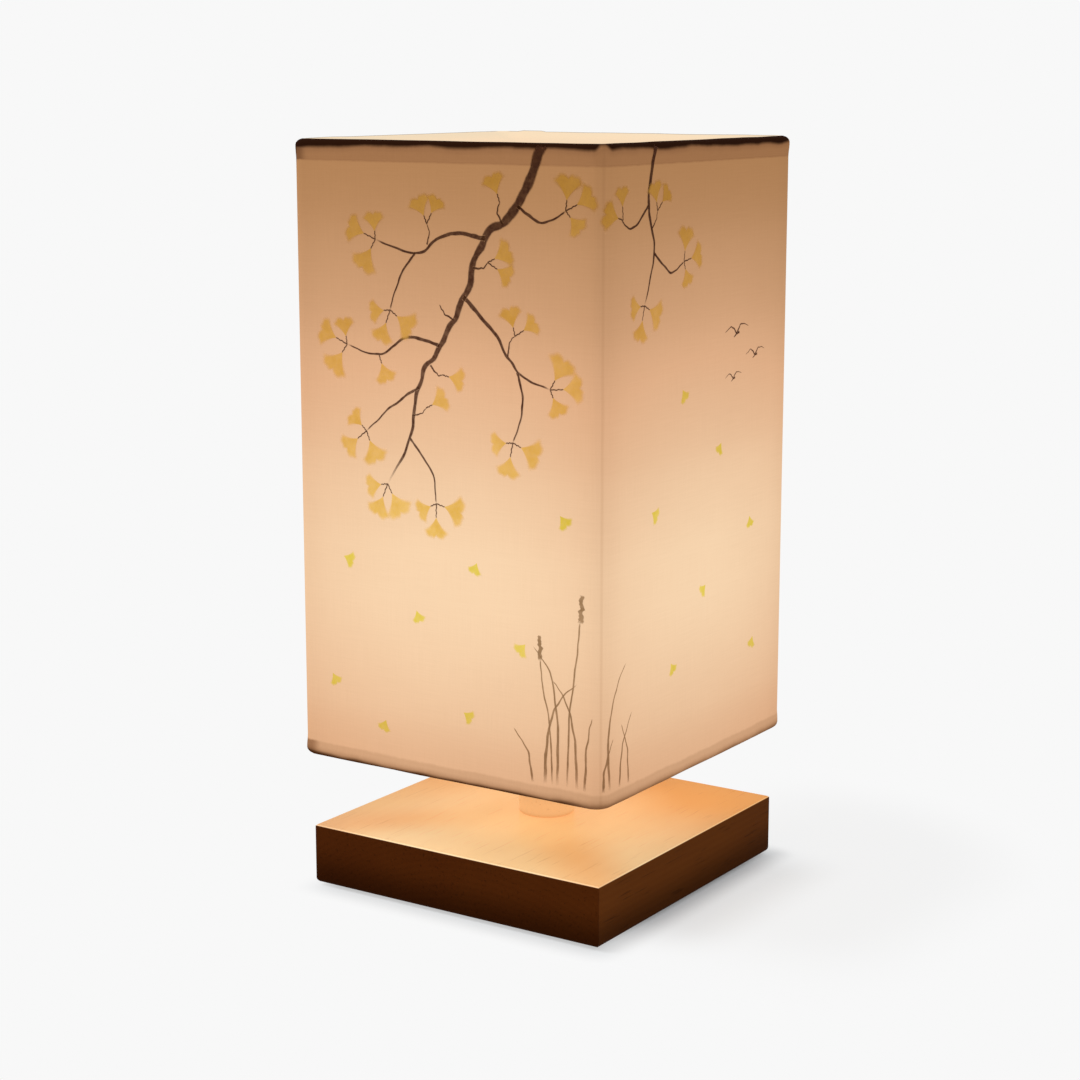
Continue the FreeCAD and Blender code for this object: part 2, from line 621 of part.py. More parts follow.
def shade_liner():
    """Stiff clear sheet behind the fabric, wrapped round both wires and lapped inside the back."""
    near = FABRIC_THICKNESS
    far = near + LINER_THICKNESS
    low, high = BOTTOM_WIRE_Z, TOP_WIRE_Z
    sheet = around_shade(outline(in_front_wall, (near, low), (near, high), (far, high), (far, low)))
    lap_x = SEAM_FROM_CORNER + SEAM_LAP_WIDTH / 2 - SHADE_WIDTH / 2
    lap_y = SHADE_WIDTH / 2 - far - LINER_THICKNESS / 2
    lap = block(SEAM_LAP_WIDTH, LINER_THICKNESS, BOTTOM_HEM_END, TOP_HEM_END, lap_x, lap_y)
    return sheet.fuse(lap).removeSplitter()


def hem_section(wire_z, upwards, hem_end):
    """Outline of a hem from the outside of the wall round the wire to its glued edge and back to the wall."""
    inner_radius = HEM_RADIUS - FABRIC_THICKNESS
    turn = math.radians(HEM_RETURN_ANGLE)
    halfway = (turn - math.pi) / 2
    flap_far = FABRIC_THICKNESS + LINER_THICKNESS + FABRIC_THICKNESS
    flap_near = FABRIC_THICKNESS + LINER_THICKNESS

    def round_wire(radius, angle):
        return (HEM_RADIUS + radius * math.cos(angle), wire_z + upwards * radius * math.sin(angle))

    def reach(radius, depth):
        """Where the tangent that leaves the wire at the return angle comes to this depth."""
        depth_there, height_there = round_wire(radius, turn)
        return (depth, height_there + upwards * (depth_there - depth) / math.tan(turn))

    outside = [(0.0, wire_z), (round_wire(HEM_RADIUS, halfway), round_wire(HEM_RADIUS, turn))]
    flap = [
        reach(HEM_RADIUS, flap_far),
        (flap_far, hem_end),
        (flap_near, hem_end),
        reach(inner_radius, flap_near),
        round_wire(inner_radius, turn),
    ]
    inside = [(round_wire(inner_radius, halfway), (FABRIC_THICKNESS, wire_z))]
    return outside + flap + inside


def reversed_section(steps):
    """The same outline walked the other way round."""
    points = [step[1] if isinstance(step[0], tuple) else step for step in steps]
    middles = [step[0] if isinstance(step[0], tuple) else None for step in steps]
    walked = [points[-1]]
    for point, middle in zip(reversed(points[:-1]), reversed(middles[1:])):
        walked.append((middle, point) if middle else point)
    return walked


def shade_fabric():
    """Cloth over the liner, hemmed round both wires and snipped where the spider arms come through."""
    bottom = hem_section(BOTTOM_WIRE_Z, 1, BOTTOM_HEM_END)
    top = hem_section(TOP_WIRE_Z, -1, TOP_HEM_END)
    cloth = around_shade(outline(in_front_wall, *bottom, *reversed_section(top)))
    snip_width = WIRE_DIAMETER + 2 * RUNNING_CLEARANCE
    snip_bottom = BOTTOM_WIRE_Z - WIRE_RADIUS - RUNNING_CLEARANCE
    inner_face = SHADE_WIDTH / 2 - FABRIC_THICKNESS - LINER_THICKNESS
    snip_depth = 2 * HEM_RADIUS
    snip = block(snip_width, snip_depth, snip_bottom, BOTTOM_HEM_END, 0, snip_depth / 2 - inner_face)
    return cloth.cut([snip.rotated(ORIGIN, UP, angle) for angle in QUARTER_TURNS])


# Bulb

def cap_contact():
    """Soldered tip, slightly domed."""
    radius = CONTACT_DOME_DIAMETER / 2
    crown = CONTACT_DOME_HEIGHT / 2
    rim = BULB_TIP + crown
    shoulder = (radius * math.sin(math.pi / 4), rim - crown * math.cos(math.pi / 4))
    return turned(
        (0.0, BULB_TIP), (shoulder, (radius, rim)), (radius, INSULATOR_BOTTOM), (0.0, INSULATOR_BOTTOM)
    )


def cap_insulator():
    return turned(
        (0.0, INSULATOR_BOTTOM),
        (CONTACT_DOME_DIAMETER / 2 + PUSH_CLEARANCE, INSULATOR_BOTTOM),
        (INSULATOR_TOP_DIAMETER / 2, BULB_CAP_BOTTOM),
        (0.0, BULB_CAP_BOTTOM),
    )


def bulb_cap():
    """Metal screw cap, a thin cup pressed on the housing's plug."""
    cup = tube(BULB_CAP_RADIUS, INSULATOR_TOP_DIAMETER / 2 - BULB_CAP_WALL, BULB_CAP_BOTTOM, HOUSING_BOTTOM)
    hollow = cylinder(BULB_CAP_RADIUS - BULB_CAP_WALL, BULB_CAP_BOTTOM + BULB_CAP_WALL, HOUSING_BOTTOM)
    return cup.cut(hollow)


def bulb_housing():
    """Moulded body: a plug in the cap, a flared waist and a rim that the dome and the board sit on."""
    plug = BULB_CAP_RADIUS - BULB_CAP_WALL
    foot = HOUSING_FOOT_DIAMETER / 2
    waist = (foot + (DOME_RADIUS - foot) / 4, HOUSING_BOTTOM + HOUSING_HEIGHT / 2)
    return turned(
        (0.0, BULB_CAP_BOTTOM + BULB_CAP_WALL),
        (plug, BULB_CAP_BOTTOM + BULB_CAP_WALL),
        (plug, HOUSING_BOTTOM),
        (foot, HOUSING_BOTTOM),
        (waist, (DOME_RADIUS, DOME_BOTTOM)),
        (0.0, DOME_BOTTOM),
    )


def board_radius():
    return DOME_RADIUS - DOME_WALL - RUNNING_CLEARANCE


def led_board():
    return cylinder(board_radius(), DOME_BOTTOM, DOME_BOTTOM + BOARD_THICKNESS)


def led_chips():
    bottom = DOME_BOTTOM + BOARD_THICKNESS
    top = bottom + CHIP_HEIGHT
    places = polar_places(CHIPS, 2 * board_radius() / 3, 0)
    return Part.makeCompound([block(CHIP_SIZE, CHIP_SIZE, bottom, top, x, y) for x, y in places])


def bulb_dome():
    """Opal cover: a straight wall closed by half a ball."""
    centre = DOME_BOTTOM + DOME_STRAIGHT
    inner = DOME_RADIUS - DOME_WALL

    def over_top(radius):
        return (radius * math.sin(math.pi / 4), centre + radius * math.cos(math.pi / 4))

    return turned(
        (inner, DOME_BOTTOM),
        (DOME_RADIUS, DOME_BOTTOM),
        (DOME_RADIUS, centre),
        (over_top(DOME_RADIUS), (0.0, centre + DOME_RADIUS)),
        (0.0, centre + inner),
        (over_top(inner), (inner, centre)),
    )


def all_parts():
    """Every piece by its name."""
    parts = {
        "base_block": base_block(),
        "base_cover": base_cover(),
        "cover_screws": cover_screws(),
        "cord_grommet": cord_grommet(),
        "stem_tube": stem_tube(),
        "stem_washer": stem_washer(),
        "stem_nut": stem_nut(),
        "stem_collar": stem_collar(),
        "terminal_block": terminal_block(),
        "block_screw": block_screw(),
        "block_pole_screws": block_pole_screws(),
        "live_lead": lead(-1),
        "neutral_lead": lead(1),
        "holder_cap": holder_cap(),
        "contact_carrier": contact_carrier(),
        "live_terminal": holder_terminal(-1),
        "neutral_terminal": holder_terminal(1),
        "holder_terminal_screws": Part.makeCompound([terminal_screw(side) for side in (-1, 1)]),
        "centre_contact": centre_contact(),
        "screw_shell": screw_shell(),
        "shell_rivet": shell_rivet(),
        "holder_skirt": holder_skirt(),
        "shade_ring": shade_ring(),
        "fitter_ring": fitter_ring(),
        "bottom_wire": wire_square(BOTTOM_WIRE_Z),
        "top_wire": wire_square(TOP_WIRE_Z),
        "shade_liner": shade_liner(),
        "shade_fabric": shade_fabric(),
        "cap_contact": cap_contact(),
        "cap_insulator": cap_insulator(),
        "bulb_cap": bulb_cap(),
        "bulb_housing": bulb_housing(),
        "led_board": led_board(),
        "led_chips": led_chips(),
        "bulb_dome": bulb_dome(),
    }
    for name, side_x, side_y in (
        ("front_left", -1, -1), ("front_right", 1, -1), ("back_left", -1, 1), ("back_right", 1, 1)
    ):
        parts["foot_pad_" + name] = foot_pad(side_x, side_y)
    for name, angle in zip(("front", "right", "back", "left"), QUARTER_TURNS):
        parts["spider_arm_" + name] = spider_arm(angle)
    return parts


def main():
    os.makedirs(PARTS_FOLDER, exist_ok=True)
    for name, shape in all_parts().items():
        valid = shape.isValid() and all(solid.isClosed() for solid in shape.Solids)
        print(f"{name}: {len(shape.Solids)} solid(s), {shape.Volume:.1f} mm3, valid {valid}")
        shape.exportStep(os.path.join(PARTS_FOLDER, name + ".step"))


main()
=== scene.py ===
# %% [markdown]
# # A bedside lamp, dressed for the camera
# The lamp is already built as solids: a wooden base, a bulb holder, a bulb and a square cloth shade on a
# wire frame. This file loads those solids as a fixed frame, in metres with +Z up, and gives each one the
# look it has on a real lamp. A solid whose shape is right only gets a finish. What a solid shows too
# plainly, such as the cloth, is modelled again here, and the new piece rides on the body that carries it.

# %% Load the frame
import math

import bmesh
import bpy
import numpy as np
from mathutils import Matrix, Vector, noise


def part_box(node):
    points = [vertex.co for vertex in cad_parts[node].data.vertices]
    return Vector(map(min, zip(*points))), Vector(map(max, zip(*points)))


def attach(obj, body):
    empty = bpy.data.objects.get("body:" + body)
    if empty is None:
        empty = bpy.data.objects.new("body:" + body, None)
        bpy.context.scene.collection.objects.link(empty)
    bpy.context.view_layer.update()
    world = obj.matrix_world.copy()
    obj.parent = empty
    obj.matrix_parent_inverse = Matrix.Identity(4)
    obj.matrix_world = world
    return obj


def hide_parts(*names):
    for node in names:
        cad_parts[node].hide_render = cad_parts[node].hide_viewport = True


MM, TINY = 0.001, 1e-6

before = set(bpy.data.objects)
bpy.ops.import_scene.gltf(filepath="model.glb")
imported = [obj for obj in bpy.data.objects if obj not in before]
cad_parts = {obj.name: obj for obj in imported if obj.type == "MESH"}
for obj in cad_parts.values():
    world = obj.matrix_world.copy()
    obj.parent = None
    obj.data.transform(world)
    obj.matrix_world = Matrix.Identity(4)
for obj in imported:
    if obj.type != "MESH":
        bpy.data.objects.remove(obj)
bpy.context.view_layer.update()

# %% [markdown]
# ## The camera
# The photograph looks at the lamp's near corner from a little above, with a long lens, so upright edges
# stay nearly upright. A camera could be placed by eye. Here its place, turn and lens were worked out from
# the corners of the shade and the base, so that the render can be laid over the photograph.

# %% Camera
CAMERA_PLACE = (0.4641, -0.7063, 0.2966)
LOOK_DOWN, HEADING = math.radians(11.303), math.radians(33.483)
LENS, SENSOR = 77.66, 36

bpy.ops.object.camera_add(location=CAMERA_PLACE, rotation=(math.pi / 2 - LOOK_DOWN, 0, HEADING))
camera = bpy.context.object
camera.name = "camera"
camera.data.lens, camera.data.sensor_width = LENS, SENSOR
bpy.context.scene.camera = camera
bpy.context.scene.view_settings.view_transform = "Standard"
print("camera at", [round(part, 3) for part in camera.location], "with a lens of", LENS, "mm")

# %% [markdown]
# ## Writing shader maths
# A finish is a small graph of nodes. Drawn by hand it is slow to read back, so two small classes let us
# write it as an expression: Value wraps one output, and sums and products of values add Math nodes.
# Graph.node makes any other node from its type, its settings and its inputs. A colour is never sent through
# a Math node, which would turn it grey; blend() and dim() mix colours instead.

# %% A value
def adds(operation):
    """A method that puts a value, and what it meets, through one Math node."""
    return lambda value, *others: value.math(operation, value, *others)


class Value:
    """One output socket of a graph. Arithmetic on values adds Math nodes."""

    __add__ = __radd__ = adds("ADD")
    __mul__ = __rmul__ = adds("MULTIPLY")
    __sub__, __truediv__, __pow__ = adds("SUBTRACT"), adds("DIVIDE"), adds("POWER")
    __abs__, sine, smaller, larger = adds("ABSOLUTE"), adds("SINE"), adds("MINIMUM"), adds("MAXIMUM")

    def __init__(self, graph, socket):
        self.graph, self.socket = graph, socket

    def __rsub__(self, other):
        return self.math("SUBTRACT", other, self)

    def math(self, operation, *terms):
        return self.graph.node("ShaderNodeMath", {"operation": operation}, dict(enumerate(terms)))

    def between(self, low, high):
        """0 below low, 1 above high, and a smooth step from one to the other."""
        settings = {"interpolation_type": "SMOOTHSTEP"}
        return self.graph.node("ShaderNodeMapRange", settings, {0: self, 1: low, 2: high})

    def past(self, low, high):
        """The same step, with both places in millimetres."""
        return self.between(low * MM, high * MM)

    def within(self, core, edge):
        """1 up to core and 0 from edge on, in millimetres."""
        return 1 - self.past(core, edge)

    def near(self, place, core, edge):
        """1 within core of a place, fading to 0 at edge, in millimetres."""
        return abs(self - place * MM).within(core, edge)


print("a value knows:", ", ".join(name for name in vars(Value) if not name.startswith("_")))

# %% A graph
class Graph:
    """The nodes of a material or of the world."""

    def __init__(self, owner):
        owner.use_nodes = True
        self.owner, self.tree = owner, owner.node_tree

    def feed(self, socket, value):
        if isinstance(value, Value):
            self.tree.links.new(value.socket, socket)
        else:
            socket.default_value = value

    def node(self, kind, settings=None, inputs=None, output=0):
        made = self.tree.nodes.new(kind)
        for name, value in (settings or {}).items():
            if name == "stops":
                self.lay_stops(made.color_ramp.elements, value)
            else:
                setattr(made, name, value)
        for name, value in (inputs or {}).items():
            self.feed(made.inputs[name], value)
        return Value(self, made.outputs[output])

    def lay_stops(self, elements, stops):
        while len(elements) < len(stops):
            elements.new(1.0)
        for element, (place, tint) in zip(elements, stops):
            element.position, element.color = place, tint

    def parts(self, vector):
        """The three numbers of a vector."""
        split = self.node("ShaderNodeSeparateXYZ", {}, {0: vector}).socket.node
        return [Value(self, socket) for socket in split.outputs]

    def mix_shader(self, share, first, second):
        return self.node("ShaderNodeMixShader", {}, {0: share, 1: first, 2: second})

    def blend(self, share, first, second, how="MIX"):
        """A colour between two colours."""
        settings = {"data_type": "RGBA", "blend_type": how}
        return self.node("ShaderNodeMix", settings, {0: share, 6: first, 7: second}, output=2)

    def dim(self, share, light, tint):
        """A colour seen through a tint, by a share."""
        return self.blend(share, light, tint, "MULTIPLY")


print("a graph knows:", ", ".join(name for name in vars(Graph) if not name.startswith("_")))

# %% Colours
def colour(red, green, blue):
    """A colour as a paint chart gives it, 0 to 255, turned into the linear numbers that shaders use."""
    parts = [part / 255 for part in (red, green, blue)]
    linear = [part / 12.92 if part <= 0.04045 else ((part + 0.055) / 1.055) ** 2.4 for part in parts]
    return (*linear, 1.0)


def scaled(tint, factor):
    """The same colour, lighter or darker."""
    return (*[part * factor for part in tint[:3]], 1.0)


print("a mid grey in linear numbers:", round(colour(128, 128, 128)[0], 3))

# %% [markdown]
# ## A pale room
# The lamp stands in an even white room. To the camera, and to reflections, the world shows one pale grey,
# so no horizon shows. To all other rays it is a plain studio light, dim enough that the lamp's own glow
# still reads. A sky texture or a picture of a room would be another way, but its colours would spill on the
# wood.

# %% World
PALE = colour(248, 248, 248)
STUDIO_LIGHT = 0.56


def seen_directly(graph):
    """1 for camera, mirror and glass rays, 0 for the rays that light the object."""
    rays = graph.tree.nodes.new("ShaderNodeLightPath").outputs
    names = ("Is Camera Ray", "Is Glossy Ray", "Is Transmission Ray")
    camera_ray, glossy_ray, glass_ray = [Value(graph, rays[name]) for name in names]
    return camera_ray.larger(glossy_ray).larger(glass_ray)


world = bpy.data.worlds.new("studio")
bpy.context.scene.world = world
sky = Graph(world)
lit = sky.node("ShaderNodeBackground", {}, {"Color": scaled((1, 1, 1), STUDIO_LIGHT)})
pale = sky.node("ShaderNodeBackground", {}, {"Color": PALE})
both = sky.mix_shader(seen_directly(sky), lit, pale)
sky.feed(sky.tree.nodes["World Output"].inputs["Surface"], both)
print("studio light:", STUDIO_LIGHT, "pale background:", round(PALE[0], 3))

# %% [markdown]
# ## The table
# The floor is a large plane in the same pale grey. If it were only that, the lamp would float, and if it
# were only a white surface, it would turn grey far away. So close to the base a part of its real shading
# shows, which holds the shadow, and further out it fades to the plain background. Three soft masks say how
# much: a narrow dark rim where the base stands, a core at the right, in the lee of the main light, and a
# wide faint tail. The floor's white is a little cool, which balances the lamp's warm light. From below the
# table is clear, so that the underside shows.

# %% Floor
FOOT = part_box("base_block")[1].x
FLOOR_SIZE, COOL_WHITE = 24, colour(242, 246, 249)
RIM, CORE, TAIL = 0.46, 0.27, 0.13

bpy.ops.object.select_all(action="DESELECT")
bpy.ops.mesh.primitive_plane_add(size=FLOOR_SIZE)
floor = bpy.context.object
floor.name = "floor"
table = Graph(bpy.data.materials.new("pale_table"))
east, north, _ = table.parts(table.node("ShaderNodeTexCoord", output="Object"))
past_east, past_north = [(abs(way) - FOOT).larger(0.0) for way in (east, north)]
off = (past_east * past_east + past_north * past_north) ** 0.5
lee = east.past(0, 60)
rim = off.within(-1, 12) * east.past(-75, -50)
core = off.within(12, 40) * north.near(10, 30, 65) * lee
tail = off.within(60, 110) * lee * north.past(-70, 0)
clear = 1 - (RIM * rim + CORE * core + TAIL * tail)
matt = table.node("ShaderNodeBsdfDiffuse", {}, {"Color": COOL_WHITE})
bright = table.node("ShaderNodeEmission", {}, {"Color": PALE})
above = table.mix_shader(seen_directly(table) * clear, matt, bright)
from_below = table.node("ShaderNodeNewGeometry", output="Backfacing")
both = table.mix_shader(from_below, above, table.node("ShaderNodeBsdfTransparent"))
table.feed(table.tree.nodes["Material Output"].inputs["Surface"], both)
floor.data.materials.append(table.owner)
print("floor:", floor.dimensions[0], "m across")

# %% [markdown]
# ## Two soft boxes
# The photograph's shadow falls to the right, so the main light stands at the left, high up. A weak one at
# the right keeps the dark wood readable. Both are wide, because wide lights give shadows with soft edges.

# %% Lights
LAMP_MIDDLE = Vector((0, 0, 0.12))


def soft_box(name, location, width, power):
    """A square studio light that looks at the lamp."""
    turn = (LAMP_MIDDLE - Vector(location)).to_track_quat("-Z", "Y").to_euler()
    bpy.ops.object.light_add(type="AREA", location=location, rotation=turn)
    light = bpy.context.object
    light.name = light.data.name = name
    light.data.size, light.data.energy = width, power
    print(name, power, "W")


soft_box("key_light", location=(-0.85, -0.50, 1.10), width=0.7, power=8.0)
soft_box("fill_light", location=(1.1, -0.15, 0.65), width=0.8, power=1.4)

# %% [markdown]
# ## Starting a finish
# Most finishes begin alike: a Principled shader whose constant numbers are set on its own sockets, and the
# object's coordinates, in metres, from which every pattern is measured. Noise over these coordinates gives
# the small variations that keep a surface from looking like plain paint.

# %% Finish
class Finish(Graph):
    """A material with a Principled shader. Constants are set on the shader's own sockets."""

    def __init__(self, name, constants):
        super().__init__(bpy.data.materials.new(name))
        self.shader = self.tree.nodes["Principled BSDF"]
        self.place = self.node("ShaderNodeTexCoord", output="Object")
        self.x, self.y, self.z = self.parts(self.place)
        self.show(constants)

    def show(self, inputs):
        """Feeds the shader's sockets by name."""
        for name, value in inputs.items():
            self.feed(self.shader.inputs[name], value)

    def paint(self, share, first, second):
        """A body colour between two colours."""
        self.show({"Base Color": self.blend(share, first, second)})

    def glow(self, light):
        """Gives off light of its own."""
        self.show({"Emission Color": light, "Emission Strength": 1.0})

    def bump(self, height, depth, strength=1.0):
        """Lets the light catch a fine relief of the given depth in metres."""
        inputs = {"Strength": strength, "Distance": depth, "Height": height}
        self.show({"Normal": self.node("ShaderNodeBump", {}, inputs)})

    def noise(self, scale, stretch=(1, 1, 1), detail=3.0):
        """Cloudy noise from 0 to 1; stretch squeezes it along each axis."""
        place = self.node("ShaderNodeMapping", {}, {"Vector": self.place, "Scale": stretch})
        return self.node("ShaderNodeTexNoise", {}, {"Vector": place, "Scale": scale, "Detail": detail})

    def attribute(self, name):
        """A number that the mesh carries on its points."""
        return self.node("ShaderNodeAttribute", {"attribute_name": name}, output="Fac")

    def off_diagonal(self):
        """0 on the upright edges of the square lamp, growing away from them."""
        return abs(abs(self.x) - abs(self.y))


def dress(finish, *nodes):
    """Puts a finish on CAD nodes, whose shape stays as it is."""
    for name in nodes:
        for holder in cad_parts[name].material_slots:
            holder.material = finish.owner
    print(finish.owner.name, "on", ", ".join(nodes))


print("a finish can:", ", ".join(name for name in vars(Finish) if not name.startswith("_")))

# %% [markdown]
# ## The cloth of the shade
# The shade is one strip of thin cloth, stretched over a wire square at the top and one at the bottom, with
# each edge rolled round its wire and turned in. A box with a texture would have a knife edge there. So we
# begin with a box, open its ends, round its upright corners and roll both rims by extruding them in small
# steps. A few short helpers come first. They start and copy pieces, select parts of them by their place,
# and finish thin walls.

# %% Tools for pieces
SMOOTH_ANGLE = math.radians(40)


def named(name):
    """Names the active object and its mesh."""
    piece = bpy.context.object
    piece.name = piece.data.name = name
    return piece


def new_piece(name, add, **settings):
    """A new primitive, with its place and turn worked into its mesh."""
    bpy.ops.object.select_all(action="DESELECT")
    add(**settings)
    bpy.ops.object.transform_apply(location=True, rotation=True, scale=True)
    return named(name)


def copy_of(model, name):
    """A copy of a piece, with a mesh of its own."""
    piece = model.copy()
    piece.data = model.data.copy()
    piece.name = piece.data.name = name
    bpy.context.scene.collection.objects.link(piece)
    return piece


print("faces that meet at less than", round(math.degrees(SMOOTH_ANGLE)), "degrees are shaded as one")

# %% Tools for edit mode
def pick(piece, kind, test):
    """In edit mode, selects only the vertices, edges or faces that pass the test."""
    bpy.ops.mesh.select_mode(type=kind)
    bpy.ops.mesh.select_all(action="DESELECT")
    shape = bmesh.from_edit_mesh(piece.data)
    members = {"VERT": shape.verts, "EDGE": shape.edges, "FACE": shape.faces}[kind]
    chosen = [member for member in members if test(member)]
    for member in chosen:
        member.select_set(True)
    bmesh.update_edit_mesh(piece.data)
    return len(chosen)


def pick_rim(piece, height):
    """Selects the open edges at a height."""
    level = lambda edge: all(abs(point.co.z - height) < TINY for point in edge.verts)
    return pick(piece, "EDGE", lambda edge: edge.is_boundary and level(edge))


def run_of(edge):
    """How far an edge goes along x, y and z."""
    return [abs(part) for part in edge.verts[0].co - edge.verts[1].co]


def face_outwards():
    """Turns all faces outwards and leaves edit mode."""
    bpy.ops.mesh.select_all(action="SELECT")
    bpy.ops.mesh.normals_make_consistent(inside=False)
    bpy.ops.object.mode_set(mode="OBJECT")


def thicken(piece, thickness):
    """Gives an open wall its thickness, inwards, and smooth shading."""
    wall = piece.modifiers.new("wall", "SOLIDIFY")
    wall.thickness, wall.offset = thickness, -1
    bpy.ops.object.modifier_apply(modifier=wall.name)
    bpy.ops.object.shade_smooth_by_angle(angle=SMOOTH_ANGLE)


SHADE_LOW, SHADE_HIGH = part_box("shade_fabric")
HALF = SHADE_HIGH.x
WIRES = [(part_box(name)[0].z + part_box(name)[1].z) / 2 for name in ("bottom_wire", "top_wire")]
print("shade:", round(2 * HALF, 4), "wide, wires at heights", [round(height, 4) for height in WIRES])

# %% Walls
CORNER_RADIUS, CORNER_STEPS = 5 * MM, 6
COLUMNS = 40
LONG = 0.1

tall = WIRES[1] - WIRES[0]
box = {"size": 1, "location": (0, 0, sum(WIRES) / 2), "scale": (2 * HALF, 2 * HALF, tall)}
cloth = new_piece("shade_cloth", bpy.ops.mesh.primitive_cube_add, **box)
bpy.ops.object.mode_set(mode="EDIT")
pick(cloth, "FACE", lambda face: abs(face.normal.z) > 0.9)
bpy.ops.mesh.delete(type="ONLY_FACE")
pick(cloth, "EDGE", lambda edge: run_of(edge)[2] > LONG)
bpy.ops.mesh.bevel(offset=CORNER_RADIUS, segments=CORNER_STEPS)
pick(cloth, "EDGE", lambda edge: max(run_of(edge)[:2]) > LONG)
bpy.ops.mesh.subdivide(number_cuts=COLUMNS)
print("walls:", len(bmesh.from_edit_mesh(cloth.data).faces), "columns")

# %% [markdown]
# The walls need rows as well: close together at the hems, where the cloth will bulge, and far apart between
# them. At the back the two ends of the strip lap over each other, and cuts on both sides of that lap let it
# stand out with a crisp edge. Bisect cuts the whole box along a plane, which suits both.

# %% Rows and the cuts at the seam
HEM_ROWS = [row * MM for row in range(1, 8)]
LONG_ROWS = 13
LAP_EDGES = (-53.3, -53, -43.3, -43)

heights = [WIRES[0] + away for away in HEM_ROWS] + [WIRES[1] - away for away in HEM_ROWS]
heights += [WIRES[0] + tall * step / LONG_ROWS for step in range(1, LONG_ROWS)]
cuts = [((0, 0, height), (0, 0, 1)) for height in heights]
cuts += [((edge * MM, 0, 0), (1, 0, 0)) for edge in LAP_EDGES]
for middle, normal in cuts:
    bpy.ops.mesh.select_all(action="SELECT")
    bpy.ops.mesh.bisect(plane_co=middle, plane_no=normal)
print("walls:", len(bmesh.from_edit_mesh(cloth.data).faces), "faces after", len(cuts), "cuts")

# %% [markdown]
# Each hem is a profile that starts at the wire's height on the outer face, goes round the wire and ends as
# a flap against the stiff sheet inside. Extruding the open rim and then scaling it a little for every step
# walks along this profile. The top hem is turned in further than the bottom one, as the bands on the
# photograph show.

# %% Rolled hems
ROLL = 2.1 * MM
HEM_WRAP, HEM_STEPS = math.radians(225), 12
FLAP_DEPTH, FLAP_BEND = 1.2 * MM, 1.2 * MM
BANDS = (5.5, 7)


def hem_steps(wire, turn, band):
    """Depth inside the wall and height of each step of a hem; turn is 1 for the top and -1 for the bottom."""
    arc = [HEM_WRAP * step / HEM_STEPS for step in range(1, HEM_STEPS + 1)]
    steps = [(ROLL * (1 - math.cos(angle)), wire + turn * ROLL * math.sin(angle)) for angle in arc]
    end = wire + turn * (ROLL - band * MM)
    return steps + [(FLAP_DEPTH, end + turn * FLAP_BEND), (FLAP_DEPTH, end)]


for wire, turn, band in zip(WIRES, (-1, 1), BANDS):
    pick_rim(cloth, wire)
    depth_before, height_before = 0.0, wire
    for depth, height in hem_steps(wire, turn, band):
        bpy.ops.mesh.extrude_region_move(TRANSFORM_OT_translate={"value": (0, 0, height - height_before)})
        narrower = (HALF - depth) / (HALF - depth_before)
        bpy.ops.transform.resize(value=(narrower, narrower, 1), center_override=(0, 0, 0))
        depth_before, height_before = depth, height
print("hems:", len(bmesh.from_edit_mesh(cloth.data).faces), "faces in all")

# %% [markdown]
# The four arms that carry the frame run through the bottom hem, so a maker snips the turned-in part there.

# %% Snips at the arms
SNIP_TOP = SHADE_LOW.z + 9 * MM
SNIP_REACH, SNIP_DEPTH = 1.7 * MM, 2.2 * MM


def in_snip(face):
    """True for a turned-in face of the bottom hem at the middle of a wall."""
    middle = face.calc_center_median()
    beside_arm, outward = sorted((abs(middle.x), abs(middle.y)))
    return middle.z < SNIP_TOP and HALF - outward > SNIP_DEPTH and beside_arm < SNIP_REACH


print("snipped faces:", pick(cloth, "FACE", in_snip))
bpy.ops.mesh.delete(type="FACE")
face_outwards()

# %% [markdown]
# Cloth that is rolled by hand is a little fuller at the hem than on the flat wall, and nowhere quite even.
# One function says how far it stands out at any place. It sets the weights of a vertex group, and a
# Displace modifier pushes the cloth out by them. The print will use the same function later, so that it
# follows the cloth.

# %% Fullness and thickness
FULLNESS, FULL_REACH = 0.32 * MM, 5 * MM
UNEVEN, UNEVEN_SCALE = 0.6, 70
LAP_RISE, MOST_RISE = 0.35 * MM, 2 * MM
CLOTH_THICKNESS = 0.4 * MM


def rise(place):
    """How far the cloth stands out: full at the hems, double at the seam."""
    away = min(abs(place.z - wire) for wire in WIRES)
    full = max(0, 1 - (away / FULL_REACH) ** 2) ** 2
    at_back = place.y > HALF - CORNER_RADIUS
    lapped = at_back and LAP_EDGES[1] * MM - TINY < place.x < LAP_EDGES[2] * MM + TINY
    return FULLNESS * full * (1 + UNEVEN * noise.noise(place * UNEVEN_SCALE)) + (LAP_RISE if lapped else 0)


group = cloth.vertex_groups.new(name="rise")
for vertex in cloth.data.vertices:
    group.add([vertex.index], rise(vertex.co) / MOST_RISE, "REPLACE")
stand_out = cloth.modifiers.new("stand_out", "DISPLACE")
stand_out.vertex_group, stand_out.strength, stand_out.mid_level = group.name, MOST_RISE, 0.0
bpy.ops.object.modifier_apply(modifier=stand_out.name)
thicken(cloth, CLOTH_THICKNESS)
cloth.vertex_groups.clear()
print("cloth:", len(cloth.data.polygons), "faces,", round(cloth.dimensions.z, 4), "high")

# %% [markdown]
# The finish has to know which part of the cloth is turned in, because lamplight falls straight on it there.
# We measure how far each point lies behind the rounded square of the outer face, and keep that as an
# attribute.

